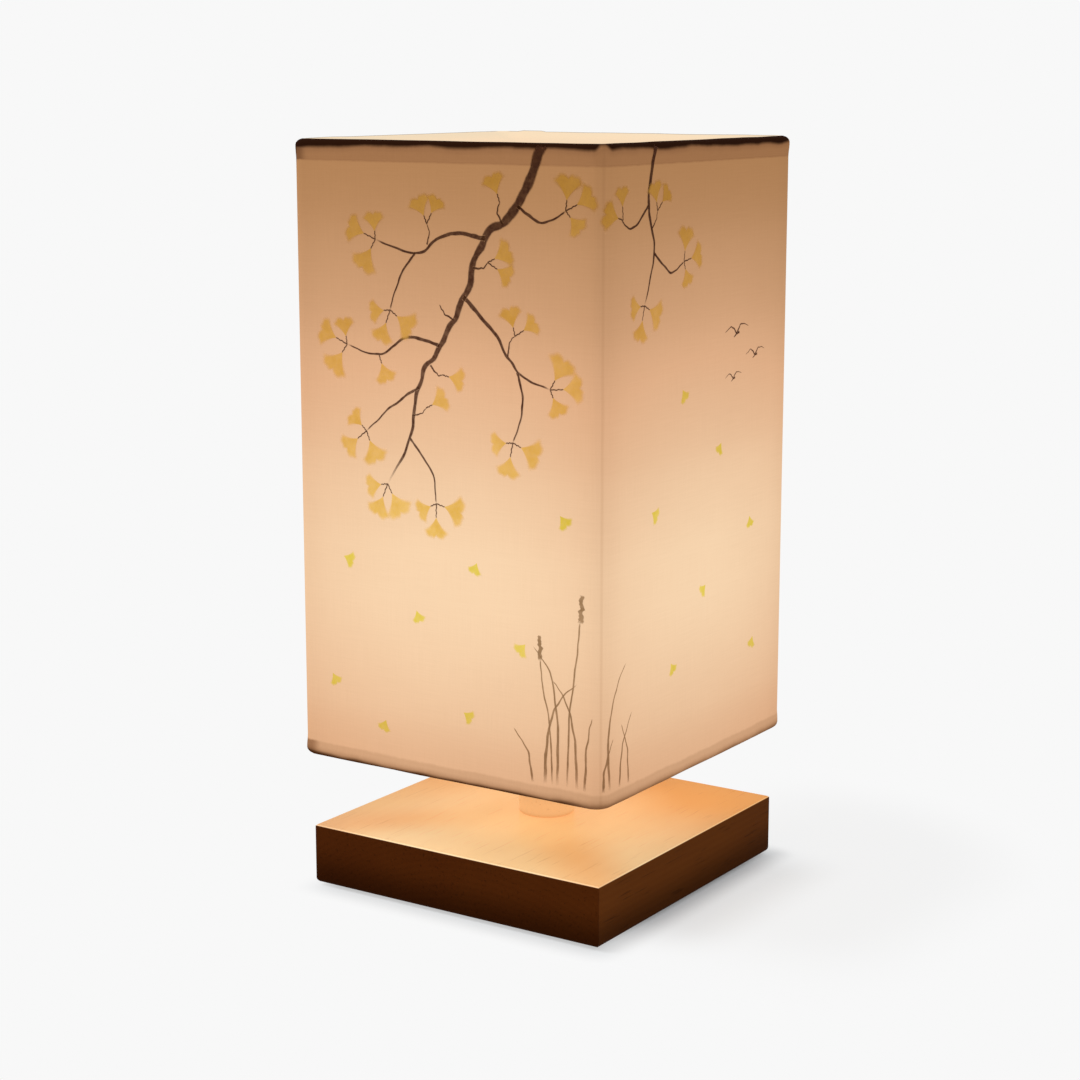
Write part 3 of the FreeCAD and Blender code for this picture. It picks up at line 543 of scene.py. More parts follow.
# %% Depth behind the outer face
points = np.array([vertex.co for vertex in cloth.data.vertices])
past = np.abs(points[:, :2]) - (HALF - CORNER_RADIUS)
outside = np.linalg.norm(np.maximum(past, 0), axis=1) + np.minimum(past.max(axis=1), 0)
behind = (CORNER_RADIUS - outside).astype(np.float32)
cloth.data.attributes.new("behind", "FLOAT", "POINT").data.foreach_set("value", behind)
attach(cloth, "shade")
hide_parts("shade_fabric")
print("deepest point behind the face:", round(float(behind.max()), 4))

# %% [markdown]
# ## Light through the cloth
# A lit shade is brightest level with the bulb and darker towards its ends and corners. We could put a
# strong lamp inside and let the renderer find that, but it takes many samples and clips to white. The cloth
# instead gives off the light that would come through it: a ramp over height sets how much, and it falls off
# a little towards the upright edges, which are further from the bulb.

# %% Lamplight by height
LAMP_STEPS = (
    (0.0, 0.50), (0.10, 0.73), (0.29, 1.0), (0.40, 0.95),
    (0.52, 0.74), (0.70, 0.42), (0.86, 0.16), (1.0, 0.02),
)
DIM, HALFWAY, HOT = (0.215, 0.102, 0.033, 1), (0.57, 0.342, 0.205, 1), (0.755, 0.58, 0.39, 1)
EDGE_LOSS = 0.17


def lamplight(finish):
    """The colour of the light that comes through the shade at each point of a finish."""
    share = (finish.z - SHADE_LOW.z) / (SHADE_HIGH.z - SHADE_LOW.z)
    steps = [(place, (level, level, level, 1)) for place, level in LAMP_STEPS]
    level = finish.node("ShaderNodeValToRGB", {"stops": steps}, {0: share})
    level.socket.node.color_ramp.interpolation = "CARDINAL"
    across = abs(finish.x).smaller(abs(finish.y)) / HALF
    level = level * (1 - EDGE_LOSS * across * across)
    stops = [(0.0, DIM), (0.5, HALFWAY), (1.0, HOT)]
    return finish.node("ShaderNodeValToRGB", {"stops": stops}, {0: level})


print("lamplight steps:", len(LAMP_STEPS))

# %% [markdown]
# The weave itself is plain: threads that are a little thicker than their neighbours show as faint streaks
# both ways, and no cloth lets light through quite evenly. Noise that is squeezed along one axis gives such
# threads. The finish also measures how far a point is from both ends and from the upright edges, and lets a
# hand-made line waver.

# %% Weave and places on the cloth
THREADS, STREAKS = 2400, 60
TREMBLE = 0.7 * MM

linen = Finish("shade_linen", {"Roughness": 0.9, "Specular IOR Level": 0.02})
level_threads = linen.noise(1.0, (STREAKS, STREAKS, THREADS), 2.0)
upright_threads = linen.noise(1.0, (THREADS, THREADS, STREAKS), 2.0)
slubs = level_threads * 0.5 + upright_threads * 0.5
clouds = linen.noise(14, detail=2.0)
sway = linen.noise(60, detail=1.0) - 0.5
tremble = (linen.noise(420) - 0.5) * TREMBLE
from_top, from_bottom = SHADE_HIGH.z - linen.z, linen.z - SHADE_LOW.z
beside_edge = linen.off_diagonal()
depth = linen.attribute("behind")
past_wires = from_top.past(2.2, 3.0) * from_bottom.past(2.2, 3.0)
turned_in = depth.past(2.2, 3.0).larger(depth.past(0.5, 0.7) * past_wires)
print("threads each", round(1000 / THREADS, 2), "mm")

# %% [markdown]
# Where the hem is turned in the cloth is double, so a band at each end is darker, with a fine line where
# the flap ends. The wire in the top hem lets nothing through, so its shadow is painted as a nearly black line
# with a brown rim, wavy below, and broken at each corner, where the glued cloth lifts off the bend. The
# bottom hem curls away from the light, and painted shade darkens it towards its underside. At the two left
# corners, where the cloth was pulled tight last, each hem has a tuck, painted as dark shade, which at the
# front ends in a small pleat below the wire, also painted dark. The lap at the back is double as well.

# %% Bands and lines
HEM_SWAY, WIRE_SWAY, UNDER_SWAY, TUCK_SWAY = 1.2 * MM, 2.4 * MM, 2.2 * MM, 4 * MM
LIFT, PULL = 1.5 * MM, 1.3 * MM

bottom_band, top_band = BANDS
hem_edge = from_bottom + sway * HEM_SWAY + tremble
low_hem = hem_edge.within(bottom_band - 0.6, bottom_band + 0.5)
high_hem = (from_top + tremble).within(top_band - 0.3, top_band + 0.2)
high_fold = (from_top + tremble * 0.5).near(top_band, 0.1, 0.55)
pulled = linen.x.within(-64, -36)
lifted = beside_edge.within(0.8, 4.5) * (1 - pulled) * LIFT
wire_edge = from_top + sway * WIRE_SWAY + tremble * 0.5 + lifted - pulled * PULL
# Painted shadow of the top wire, with a brown rim, and a painted dark pleat below it at the left corners.
wire_shadow_rim = wire_edge.within(1.6, 4.6)
pleat_shade = (beside_edge + from_top * 0.45).within(3.0, 4.8) * pulled * linen.y.within(-50, -20)
wire_shadow = wire_edge.within(1.2, 2.8).larger(pleat_shade * 0.85)
print("bands:", BANDS, "mm")

# %% Curl, corners and seam
at_corner = beside_edge.within(1.5, 8)
curl = (hem_edge - at_corner * (0.6 * MM)).within(0.2, 4.0)
underside = (from_bottom + sway * UNDER_SWAY - at_corner * (0.5 * MM)).within(0.5, 2.4)
underside = underside * (1 - 0.45 * linen.x.past(45, 64))
# Painted shade: a dark tuck in each hem at the two left corners.
tuck_shade = (beside_edge + sway * TUCK_SWAY).within(4, 9) * high_hem.larger(low_hem) * pulled
# Painted shade: a dark line in the upright crease and a dimmer strip beside each upright corner.
crease_shade, corner_shade = beside_edge.within(0.1, 1.2), beside_edge.within(0, 16)
at_back = linen.y.past(55, 58)
lap = at_back * linen.x.past(*LAP_EDGES[:2]) * linen.x.within(*LAP_EDGES[2:])
lap_edge = at_back * linen.x.near(LAP_EDGES[3], 0.1, 0.6)
print("seam:", round(LAP_EDGES[3] - LAP_EDGES[0], 1), "mm of double cloth")

# %% Cloth colours
# Tints that dim the lamplight: uneven weave, double cloth at the hems and the seam, and painted shade at the
# corners, the crease, the wire's rim, the curl and the tucks.
FILTERS = (
    (clouds.between(0.3, 0.7) * 0.10, (0.72, 0.66, 0.62, 1)),
    (slubs.between(0.3, 0.7) * 0.10, (0.70, 0.66, 0.60, 1)),
    (high_hem, (0.66, 0.58, 0.54, 1)),
    (high_fold * 0.55, (0.62, 0.52, 0.44, 1)),
    (low_hem, (0.79, 0.775, 0.755, 1)),
    (lap, (0.74, 0.68, 0.62, 1)),
    (lap_edge * 0.5, (0.5, 0.4, 0.32, 1)),
    (corner_shade * 0.12, (0.6, 0.55, 0.5, 1)),
    (crease_shade * 0.2, (0.5, 0.42, 0.34, 1)),
    (wire_shadow_rim * 0.75, (0.42, 0.26, 0.17, 1)),
    (curl * 0.8, (0.50, 0.36, 0.25, 1)),
    (tuck_shade * 0.75, (0.40, 0.26, 0.17, 1)),
)
WIRE_DARK, UNDER_DARK = (0.006, 0.0015, 0.0003, 1), (0.045, 0.014, 0.003, 1)
FLAP_LIT = (0.69, 0.62, 0.46, 1)

light = lamplight(linen)
for share, tint in FILTERS:
    light = linen.dim(share, light, tint)
for share, tint in ((underside, UNDER_DARK), (wire_shadow, WIRE_DARK), (turned_in, FLAP_LIT)):
    light = linen.blend(share, light, tint)
# Painted shade in the cloth's own colour as well: the wire's shadow, the hem's underside and curl, and the
# tucks.
shaded = wire_shadow.larger(underside).larger(curl * 0.5).larger(tuck_shade * 0.5) * (1 - turned_in)
# Painted shade: the cloth's body colour is darker than bare cloth, since its light comes from the glow.
shaded_weave = linen.blend(slubs, colour(146, 107, 75), colour(136, 98, 67))
linen.paint(shaded, shaded_weave, colour(36, 16, 6))
linen.glow(light)
linen.bump(slubs, 0.2 * MM, 0.25)
cloth.data.materials.append(linen.owner)
print(linen.owner.name, "on", cloth.name, "with", len(FILTERS), "filters")

# %% [markdown]
# ## The print
# The cloth carries a light brush print: twigs with golden fan leaves hanging from the top, reeds at the
# foot and a few birds. It could be one big procedural texture, but a drawing is easier to compose from
# strokes. Each stroke is a grid primitive that is bent along a smooth line on a flat sheet, and its width
# swells and shrinks a little as a brush does. Each piece also carries a tone, a number that its ink will
# read.

# %% Flat pieces
def flat_grid(name, columns, rows, paint):
    """A grid of one by one on the drawing sheet, with its own UV map and its ink."""
    settings = {"x_subdivisions": columns, "y_subdivisions": rows, "size": 1}
    grid = new_piece(name, bpy.ops.mesh.primitive_grid_add, **settings)
    grid.data.materials.append(paint.owner)
    return grid


def set_tone(piece, tone):
    """Keeps a number on a piece that makes its ink lighter or deeper than its neighbours'."""
    values = np.full(len(piece.data.vertices), tone, np.float32)
    piece.data.attributes.new("tone", "FLOAT", "POINT").data.foreach_set("value", values)
    return piece


def along(points, share):
    """The point and direction at a share of a smooth line through the given points."""
    place = min(share * (len(points) - 1), len(points) - 1.001)
    index, t = int(place), place - int(place)
    p0, p1, p2, p3 = [points[min(max(index + step, 0), len(points) - 1)] for step in (-1, 0, 1, 2)]
    square, cube = 2 * p0 - 5 * p1 + 4 * p2 - p3, 3 * p1 - p0 - 3 * p2 + p3
    curve = (2 * p1 + (p2 - p0) * t + square * t ** 2 + cube * t ** 3) / 2
    slope = ((p2 - p0) + square * 2 * t + cube * 3 * t ** 2) / 2
    return curve, slope.normalized()


print("a bent line at its middle:", along([Vector((0, 0)), Vector((1, 1)), Vector((2, 0))], 0.5)[0])

# %% A brush stroke
COLUMNS_A_POINT, STROKE_ROWS = 12, 4
ROUGH, KINK = 0.4, 0.5


def brush(paint, points, wide, fine):
    """A stroke through points in millimetres, from its wide end to its fine end."""
    points = [Vector(point) for point in points]
    count = len(points)
    stroke = flat_grid("stroke", COLUMNS_A_POINT * count, STROKE_ROWS, paint)
    for vertex in stroke.data.vertices:
        share, aside = vertex.co.x + 0.5, vertex.co.y
        middle, slope = along(points, share)
        flank = 0.0 if aside > 0 else 5.0
        knob = 1 + ROUGH * noise.noise((5 * count * share, wide * 3, flank))
        kink = KINK * wide * noise.noise((2 * count * share, wide * 7, 9.0)) * math.sin(math.pi * share)
        width = (wide + (fine - wide) * share) * knob
        vertex.co = ((middle + Vector((-slope.y, slope.x)) * (aside * width + kink)) * MM).to_3d()
    return set_tone(stroke, 0.5)


print("a stroke has", COLUMNS_A_POINT, "columns for each of its points")

# %% [markdown]
# Ink on a lit shade works as a filter: it takes away a part of the light that would come through. So each
# ink is the lamplight of the cloth, dimmed by the ink's own tint. The UV map of a stroke or leaf softens
# its edges through Alpha, as wet colour does on cloth. A stroke is soft only where the brush leaves the
# cloth, so that twigs stay joined. Over the painted shadow of the top wire no ink shows.

# %% Inks
def ink(name, light, deep, paint, soft):
    """A print colour: light and deep filter the lamplight, paint is for daylight, soft fades its edges."""
    finish = Finish(name, {"Roughness": 0.9, "Specular IOR Level": 0.1})
    u, v, _ = finish.parts(finish.node("ShaderNodeUVMap"))
    wash, drag = finish.noise(260), finish.noise(900, detail=2.0)
    start, end, low, high = [way.between(0.0, edge) for way, edge in zip((u, 1 - u, v, 1 - v), soft)]
    tint = finish.blend((finish.attribute("tone") + wash * 0.9 - 0.45), light, deep)
    finish.glow(finish.dim(1.0, lamplight(finish), tint))
    finish.paint(wash, paint, scaled(paint, 0.75))
    below_wire = (SHADE_HIGH.z - finish.z).past(0.5, 1.2)
    cover = start * end * low * high * (0.80 + 0.25 * wash) * (0.80 + 0.4 * drag) * below_wire
    finish.show({"Alpha": cover.smaller(1.0)})
    print(name, "is ready")
    return finish


STROKE_SOFT = (0.002, 0.10, 0.20, 0.20)
REED_SOFT = (0.14, 0.10, 0.20, 0.20)
LEAF_SOFT = (0.16, 0.16, 0.002, 0.22)
twig_ink = ink("twig_ink", (0.13, 0.07, 0.045, 1), (0.05, 0.025, 0.02, 1), colour(52, 28, 16), STROKE_SOFT)
reed_ink = ink("reed_ink", (0.46, 0.37, 0.27, 1), (0.26, 0.20, 0.13, 1), colour(92, 66, 42), REED_SOFT)
leaf_ink = ink("leaf_ink", (0.95, 0.86, 0.40, 1), (0.76, 0.59, 0.14, 1), colour(150, 112, 46), LEAF_SOFT)
fall_ink = ink("fall_ink", (0.84, 0.88, 0.24, 1), (0.68, 0.70, 0.08, 1), colour(150, 126, 40), LEAF_SOFT)

# %% [markdown]
# A fan leaf opens from its stalk like a hand fan, with a notch in the middle of a wavy rim. One leaf is
# shaped from a grid and copied. A spray is a few such leaves on short stalks that spread from the tip of a
# twig, each a little lighter or deeper than the next.

# %% A fan leaf
LEAF_COLUMNS, LEAF_ROWS = 22, 8
FAN_TURN = math.radians(54)
NOTCH_DEPTH, NOTCH_WIDTH = 0.17, 0.11
SHOULDER, WAVE_DEPTH, WAVES = 0.10, 0.03, 8.5


def fan_leaf(name, paint):
    """One leaf of length 1, opening upwards from its stalk at the origin."""
    leaf = flat_grid(name, LEAF_COLUMNS, LEAF_ROWS, paint)
    for vertex in leaf.data.vertices:
        u, v = vertex.co.x + 0.5, vertex.co.y + 0.5
        aside = 2 * u - 1
        turn = FAN_TURN * aside * (0.60 + 0.40 * v)
        notch = NOTCH_DEPTH * math.exp(-(aside / NOTCH_WIDTH) ** 2)
        rim = 1 - notch - SHOULDER * aside ** 4 + WAVE_DEPTH * math.sin(WAVES * math.pi * u)
        vertex.co = (v * rim * math.sin(turn), v * rim * math.cos(turn), 0)
    return leaf


leaf_models = [fan_leaf("leaf_model", leaf_ink), fan_leaf("fall_model", fall_ink)]
print("leaf:", len(leaf_models[0].data.polygons), "faces")

# %% Sprays of leaves
LAYER = 0.02 * MM
SPREAD, SWING = 66, 12
STALK_WIDE, STALK_FINE = 0.6, 0.45
STALKS, OVERLAP, SHRINK = (0.40, 0.62), 0.3, 0.12


def lay_leaf(model, across, height, length, turn, layer=1):
    """A copy of a leaf, at a place and of a length in millimetres, turned clockwise in degrees."""
    leaf = copy_of(model, "leaf")
    place = Matrix.Translation((across * MM, height * MM, LAYER * layer))
    leaf.data.transform(place @ Matrix.Rotation(-math.radians(turn), 4, "Z") @ Matrix.Scale(length * MM, 4))
    return set_tone(leaf, 0.5 + 0.45 * noise.noise((across * 0.9, height * 0.9, 1.0)))


def spray(across, height, heading, count, length):
    """Leaves on short stalks, spread round a heading in degrees clockwise from upwards."""
    made = []
    root = Vector((across, height))
    for step in range(count):
        turn = heading + SPREAD * (step - (count - 1) / 2) + SWING * math.sin(across + 5 * step)
        size = length * (1 - SHRINK * (step % 3))
        way = Vector((math.sin(math.radians(turn)), math.cos(math.radians(turn))))
        tip = root + way * size * STALKS[step % 2]
        made.append(brush(twig_ink, (root, (root + tip) / 2, tip), STALK_WIDE, STALK_FINE))
        made.append(lay_leaf(leaf_models[0], *(tip - way * OVERLAP), size, turn, 1 + step % 4))
    return made


print("print layers are", LAYER / MM, "mm apart")

# %% [markdown]
# Two drawings are enough. The wide one, with the bough, goes on the front and the back. The quiet one, with
# a single twig and the birds, goes on the other two walls. Places are millimetres across from the middle of
# the wall, and up from the table. The last two numbers of a stroke are its width at both ends.

# %% Bough
BOUGH_TWIGS = (
    ((41, 274.5), (31, 254), (18, 243), (9, 223), (-1, 206), (-10, 191), (-14, 173), (-24, 156), 4.4, 0.8),
    ((31, 254), (41, 249), (50, 253), 1.5, 0.6),
    ((18, 243), (3, 244), (-11, 237), (-28, 241), 1.9, 0.6),
    ((-11, 237), (-18, 228), (-22, 217), 1.1, 0.5),
    ((9, 223), (22, 211), (31, 199), (44, 194), 1.9, 0.6),
    ((31, 199), (33, 187), (29, 175), 1.2, 0.5),
    ((-1, 206), (-15, 208), (-27, 201), (-41, 204), 1.6, 0.5),
    ((-10, 191), (-21, 184), (-33, 174), 1.3, 0.5),
    ((-14, 173), (-5, 162), (-3, 151), 1.1, 0.5),
)
BOUGH_SPURS = (
    ((25, 248), (23, 252), (24, 255), 1.0, 0.4),
    ((13, 233), (17, 233), (19, 235), 1.0, 0.4),
    ((5, 215), (1, 217), (-1, 220), 0.9, 0.4),
    ((-5, 199), (-2, 196), (0, 196), 0.9, 0.4),
    ((-13, 181), (-9, 182), (-7, 184), 0.8, 0.3),
    ((-6, 240), (-5, 244), (-6, 247), 0.7, 0.3),
    ((27, 204), (28, 209), (30, 211), 0.8, 0.3),
)
print("bough:", len(BOUGH_TWIGS), "twigs and", len(BOUGH_SPURS), "spurs")

# %% Leaves of the bough
BOUGH_SPRAYS = (
    (50, 253, 75, 3, 9.5), (24, 255, -10, 1, 8.0), (19, 235, 95, 2, 8.5), (-28, 241, -80, 3, 10.0),
    (-6, 247, 5, 2, 8.0), (-22, 217, 190, 3, 9.5), (44, 194, 95, 3, 10.0), (30, 211, 30, 2, 8.0),
    (29, 175, 185, 3, 9.5), (-41, 204, -80, 3, 10.0), (-27, 201, 170, 1, 8.0), (-33, 174, 235, 3, 9.5),
    (-24, 156, 205, 3, 10.0), (-3, 151, 170, 3, 9.5), (-7, 184, 70, 1, 8.0), (0, 196, 100, 1, 7.5),
)
BOUGH_FALL = (
    (48, 152, 5.5, 140), (14, 132, 5.0, 200), (-44, 128, 5.5, 110), (-12, 112, 5.0, 160), (34, 106, 5.5, 220),
    (-50, 84, 5.0, 150), (8, 78, 5.0, 120), (-26, 70, 5.0, 200),
)
print("bough leaves:", sum(entry[3] for entry in BOUGH_SPRAYS) + len(BOUGH_FALL))

# %% Reeds beside the bough
BOUGH_REEDS = (
    ((42, 57.5), (43, 74), (47, 87), (55, 95), 1.7, 0.3),
    ((47, 57.5), (47, 80), (44, 97), (37, 106), 1.5, 0.3),
    ((51, 57.5), (52, 84), (55, 106), (56, 117), 0.9, 0.7),
    ((55, 57.5), (54, 76), (50, 89), (45, 95), 1.4, 0.3),
    ((58, 57.5), (59, 74), (61, 84), 1.3, 0.3),
    ((37, 57.5), (35, 68), (29, 76), 1.2, 0.3),
    ((45, 57.5), (44, 78), (41, 93), (40, 102), 0.8, 0.6),
    ((56, 116), (56.6, 121), (56.8, 126), 2.6, 1.8),
    ((40, 101), (39.6, 106), (39.8, 110), 2.2, 1.5),
)
print("reeds:", len(BOUGH_REEDS), "strokes")

# %% Twig and birds
TWIG = (
    ((-34, 274.5), (-38, 254), (-34, 238), (-40, 221), 2.4, 0.6),
    ((-38, 254), (-48, 247), (-55, 250), 1.2, 0.5),
    ((-34, 238), (-23, 231), (-14, 234), 1.2, 0.5),
    ((-36, 246), (-33, 249), (-32, 252), 0.8, 0.3),
)
TWIG_SPRAYS = (
    (-54, 250, -50, 2, 8.5), (-40, 221, 190, 3, 9.5), (-14, 234, 85, 3, 9.5), (-32, 252, 25, 2, 8.0),
)
TWIG_FALL = (
    (-14, 190, 5.5, 150), (14, 168, 5.0, 210), (-34, 150, 5.5, 120), (36, 138, 5.0, 170), (4, 118, 5.0, 230),
    (-20, 94, 5.0, 150), (40, 92, 5.0, 200),
)
TWIG_REEDS = (
    ((-60, 57.5), (-61, 76), (-57, 92), (-50, 101), 1.6, 0.3),
    ((-54, 57.5), (-52, 72), (-46, 83), 1.4, 0.3),
    ((-48, 57.5), (-49, 70), (-53, 80), 1.2, 0.3),
    ((-63, 57.5), (-62, 68), (-58, 76), 1.2, 0.3),
)
BIRD = (
    ((0, 0), (-0.42, 0.32), (-1.0, 0.10), 0.12, 0.02),
    ((0, 0), (0.42, 0.36), (1.05, 0.24), 0.12, 0.02),
    ((-0.22, -0.14), (0.0, -0.01), (0.26, 0.05), 0.05, 0.15),
)
FLIGHT = ((24, 206, 8.5), (38, 197, 7.0), (22, 190, 6.0))


def bird_strokes(across, height, span):
    """Two wings and a body, as brush lines of a bird at a place and of a wing's length."""
    for *line, wide, fine in BIRD:
        yield (*[(across + span * x, height + span * y) for x, y in line], span * wide, span * fine)


flight = [stroke for bird in FLIGHT for stroke in bird_strokes(*bird)]
print("quiet drawing:", len(TWIG) + len(TWIG_REEDS) + len(flight), "strokes")

# %% [markdown]
# A drawing is made once, flat on the sheet, and joined into one mesh. Then each wall gets its own copy: the
# sheet's across and up become the wall's, a quarter turn brings it to its side, and every point moves out
# to lie a tenth of a millimetre in front of the cloth, over hem and seam too. What reaches past the end of
# a wall bends round the upright edge, as a print does that was on the cloth before the shade was made.

# %% Draw
def draw(name, twigs, reeds, sprays, falling):
    """Paints strokes, sprays and falling leaves on the sheet and joins them."""
    pieces = [brush(twig_ink, line[:-2], *line[-2:]) for line in twigs]
    pieces += [brush(reed_ink, line[:-2], *line[-2:]) for line in reeds]
    for entry in sprays:
        pieces += spray(*entry)
    pieces += [lay_leaf(leaf_models[1], *entry) for entry in falling]
    bpy.ops.object.select_all(action="DESELECT")
    for piece in pieces:
        piece.select_set(True)
    bpy.context.view_layer.objects.active = pieces[0]
    bpy.ops.object.join()
    print(name, "is joined from", len(pieces), "pieces")
    return named(name)


bough = draw("bough", BOUGH_TWIGS + BOUGH_SPURS, BOUGH_REEDS, BOUGH_SPRAYS, BOUGH_FALL)
quiet = draw("quiet", TWIG + tuple(flight), TWIG_REEDS, TWIG_SPRAYS, TWIG_FALL)

# %% Hang
PRINT_LIFT = 0.12 * MM


def on_front(across, height):
    """The place on the front wall and the way outwards; both bend round the corners and the top wire."""
    flat = HALF - CORNER_RADIUS
    past = max(abs(across) - flat, 0)
    bend = min(past / CORNER_RADIUS, math.pi / 2)
    straight = past - bend * CORNER_RADIUS
    aside = min(abs(across), flat) + CORNER_RADIUS * math.sin(bend)
    back = CORNER_RADIUS * (1 - math.cos(bend)) + straight
    side = math.copysign(1, across)
    place = Vector((side * aside, back - HALF, min(height, WIRES[1])))
    outward = Vector((side * math.sin(bend), -math.cos(bend), 0))
    roll = max(height - WIRES[1], 0) / ROLL
    up = Vector((0, 0, math.sin(roll)))
    return place + ROLL * (up - outward * (1 - math.cos(roll))), outward * math.cos(roll) + up


def hang(sheet, name, quarter):
    """Hangs a copy of a drawing on a wall; quarter turns the front wall round the lamp."""
    drawing = copy_of(sheet, name)
    turn = Matrix.Rotation(math.radians(90 * quarter), 4, "Z")
    for vertex in drawing.data.vertices:
        across, height, layer = vertex.co
        place, outward = [turn @ part for part in on_front(across, height)]
        vertex.co = place + outward * (rise(place) + PRINT_LIFT + layer)
    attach(drawing, "shade")
    print(name, len(drawing.data.polygons), "faces")


walls = (("front", bough), ("right", quiet), ("back", bough), ("left", quiet))
for quarter, (wall, sheet) in enumerate(walls):
    hang(sheet, "print_" + wall, quarter)
for model in (*leaf_models, bough, quiet):
    bpy.data.objects.remove(model)

# %% [markdown]
# ## The stiff sheet inside
# Behind the cloth is a stiff translucent sheet that keeps the walls flat. From above one sees it lit
# straight by the bulb, so it is the brightest thing in the shade, with the slight mottling of plastic film.
# Its four walls shine on each other too, so it gives off less than one would think, and least in the
# upright corners, which are furthest from the bulb.

# %% Liner finish
FILM_LIT, FILM_DULL, FILM_CORNER = (0.50, 0.42, 0.31, 1), (0.44, 0.35, 0.25, 1), (0.70, 0.58, 0.44, 1)

film = Finish("liner_film", {"Roughness": 0.55})
mottle = film.noise(90)
film.paint(mottle, colour(202, 188, 164), colour(190, 174, 148))
light = film.blend(mottle * 0.4, FILM_LIT, FILM_DULL)
film.glow(film.dim(film.off_diagonal().within(0, 22) * 0.7, light, FILM_CORNER))
film.bump(mottle, 0.1 * MM, 0.3)
dress(film, "shade_liner")

# %% [markdown]
# ## The wooden base
# The base is one block of wood. Growth rings are circles round the middle of the tree. If we measure the
# distance to a line far below the block, lines run along the top and two sides, and arcs show on the end
# grain, as in a real board. Pores are short dark dashes along the same direction, and a slow cloud keeps
# the tone from being even.

# %% Wood grain
TREE_MIDDLE = (0.013, -0.085)


def board(finish, rings=420):
    """Growth rings, so many a metre, and pores of a board that runs along y, each from 0 to 1."""
    wander = finish.noise(1.0, (34, 5, 34), 2.0) * 1.6
    aside, below = finish.x - TREE_MIDDLE[0], finish.z - TREE_MIDDLE[1]
    radius = (aside * aside + below * below) ** 0.5
    growth = ((radius * rings + wander) * 2 * math.pi).sine() * 0.5 + 0.5
    pores = finish.noise(1.0, (1100, 55, 1100), 2.0).between(0.60, 0.72)
    return growth, pores


BLOCK_LOW, BLOCK_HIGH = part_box("base_block")
wood = Finish("oiled_wood", {"Specular IOR Level": 0.006, "Coat Roughness": 0.3})
growth, pores = board(wood)
cloudy = wood.noise(1.0, (26, 11, 26), 3.0)
print("block:", [round(part, 4) for part in BLOCK_HIGH - BLOCK_LOW])

# %% [markdown]
# The sides are dark oiled wood, and their dark is partly the wood's own and partly painted shade, since the
# lamp lights only the top. They are darker still on the end grain at the front and the back, and near the
# table, where no light reaches. The arris, the fine bevel round the top, gets a painted highlight.

# %% Dark sides
# Painted shade: the sides' body colour is partly the oiled wood's own and partly shade from the lamp above.
side = wood.blend(growth * 0.12 + cloudy * 0.88, colour(86, 41, 12), colour(107, 59, 21))
side = wood.blend(pores * 0.4, side, colour(44, 20, 7))
end_grain = abs(wood.y).between(BLOCK_HIGH.y - 0.6 * MM, BLOCK_HIGH.y - 0.2 * MM)
side = wood.dim(end_grain * 0.8, side, (0.55, 0.42, 0.36, 1))
low_down = (wood.z - BLOCK_LOW.z).within(1, 16)
side = wood.dim(low_down * 0.8, side, (0.30, 0.29, 0.28, 1))
on_top = wood.z.between(BLOCK_HIGH.z - 0.5 * MM, BLOCK_HIGH.z - 0.3 * MM)
# Painted highlight: a thin bright line on the arris.
arris_highlight = on_top * (1 - wood.z.between(BLOCK_HIGH.z - 0.15 * MM, BLOCK_HIGH.z - 0.05 * MM))
# The sides' dark is partly oil and partly painted shade.
print("sides: dark oil, end grain on the front and the back")

# %% [markdown]
# The top lies in the lamplight that falls out of the shade's open bottom, so its colour is painted pale,
# a lit copy of the wood of the sides. Each wall of the shade throws its own fan of light, so the top is
# palest in front of the middle of a wall and deeper orange on the diagonals and far from the lamp. The top
# also turns deeper orange towards the back, and its lamplight is dimmer towards the left end, as painted
# shade. The block gives off the lamplight itself, for the same reason as the cloth does.

# %% Pale top
BLACK = (0, 0, 0, 1)

redder = wood.y.past(-35, 50)
# Painted light: the top's pale body colour is a lit copy of the wood of the sides.
lit_top = wood.blend(growth * 0.15 + cloudy * 0.85, colour(202, 160, 110), colour(210, 174, 126))
lit_top = wood.blend(redder * 0.85, lit_top, colour(210, 147, 70))
lit_top = wood.blend(pores * 0.3, lit_top, colour(150, 92, 46))
lit_top = wood.blend(arris_highlight * 0.6, lit_top, colour(250, 214, 164))
reach = wood.node("ShaderNodeVectorMath", {"operation": "LENGTH"}, {0: wood.place}, output="Value")
fan = wood.off_diagonal().past(0, 30)
warm = wood.blend(redder, (0.41, 0.195, 0.072, 1), (0.38, 0.14, 0.018, 1))
warm = wood.blend(fan * (1 - redder), warm, (0.42, 0.32, 0.18, 1))
warm = wood.blend(reach.within(25, 62), warm, (0.56, 0.36, 0.17, 1))
# Painted shade: the lamplight is dimmer towards the left end.
warm = wood.dim(wood.x.within(-60, -30), warm, (0.62, 0.42, 0.25, 1))
warm = wood.dim(cloudy.between(0.35, 0.65) * 0.4, warm, (0.6, 0.5, 0.4, 1))
wood.paint(on_top, side, lit_top)
wood.glow(wood.blend(on_top, BLACK, warm))
wood.show({"Roughness": 0.42 + 0.18 * cloudy, "Coat Weight": on_top * 0.35})
wood.bump(growth * 0.25 + (1 - pores) * 0.75, 0.12 * MM, 0.3)
dress(wood, "base_block")

# %% [markdown]
# ## The collar
# The short foot under the holder is turned from the same wood as the top, and stands in the same light, so
# its colour too is painted pale, as lit. On a turned piece the grain still runs straight through, so the
# board's rings are used again, wider apart. It glows like the top, and only its foot, where it meets the
# top, is a little darker, as painted shade.

# %% Collar
COLLAR_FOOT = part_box("stem_collar")[0].z

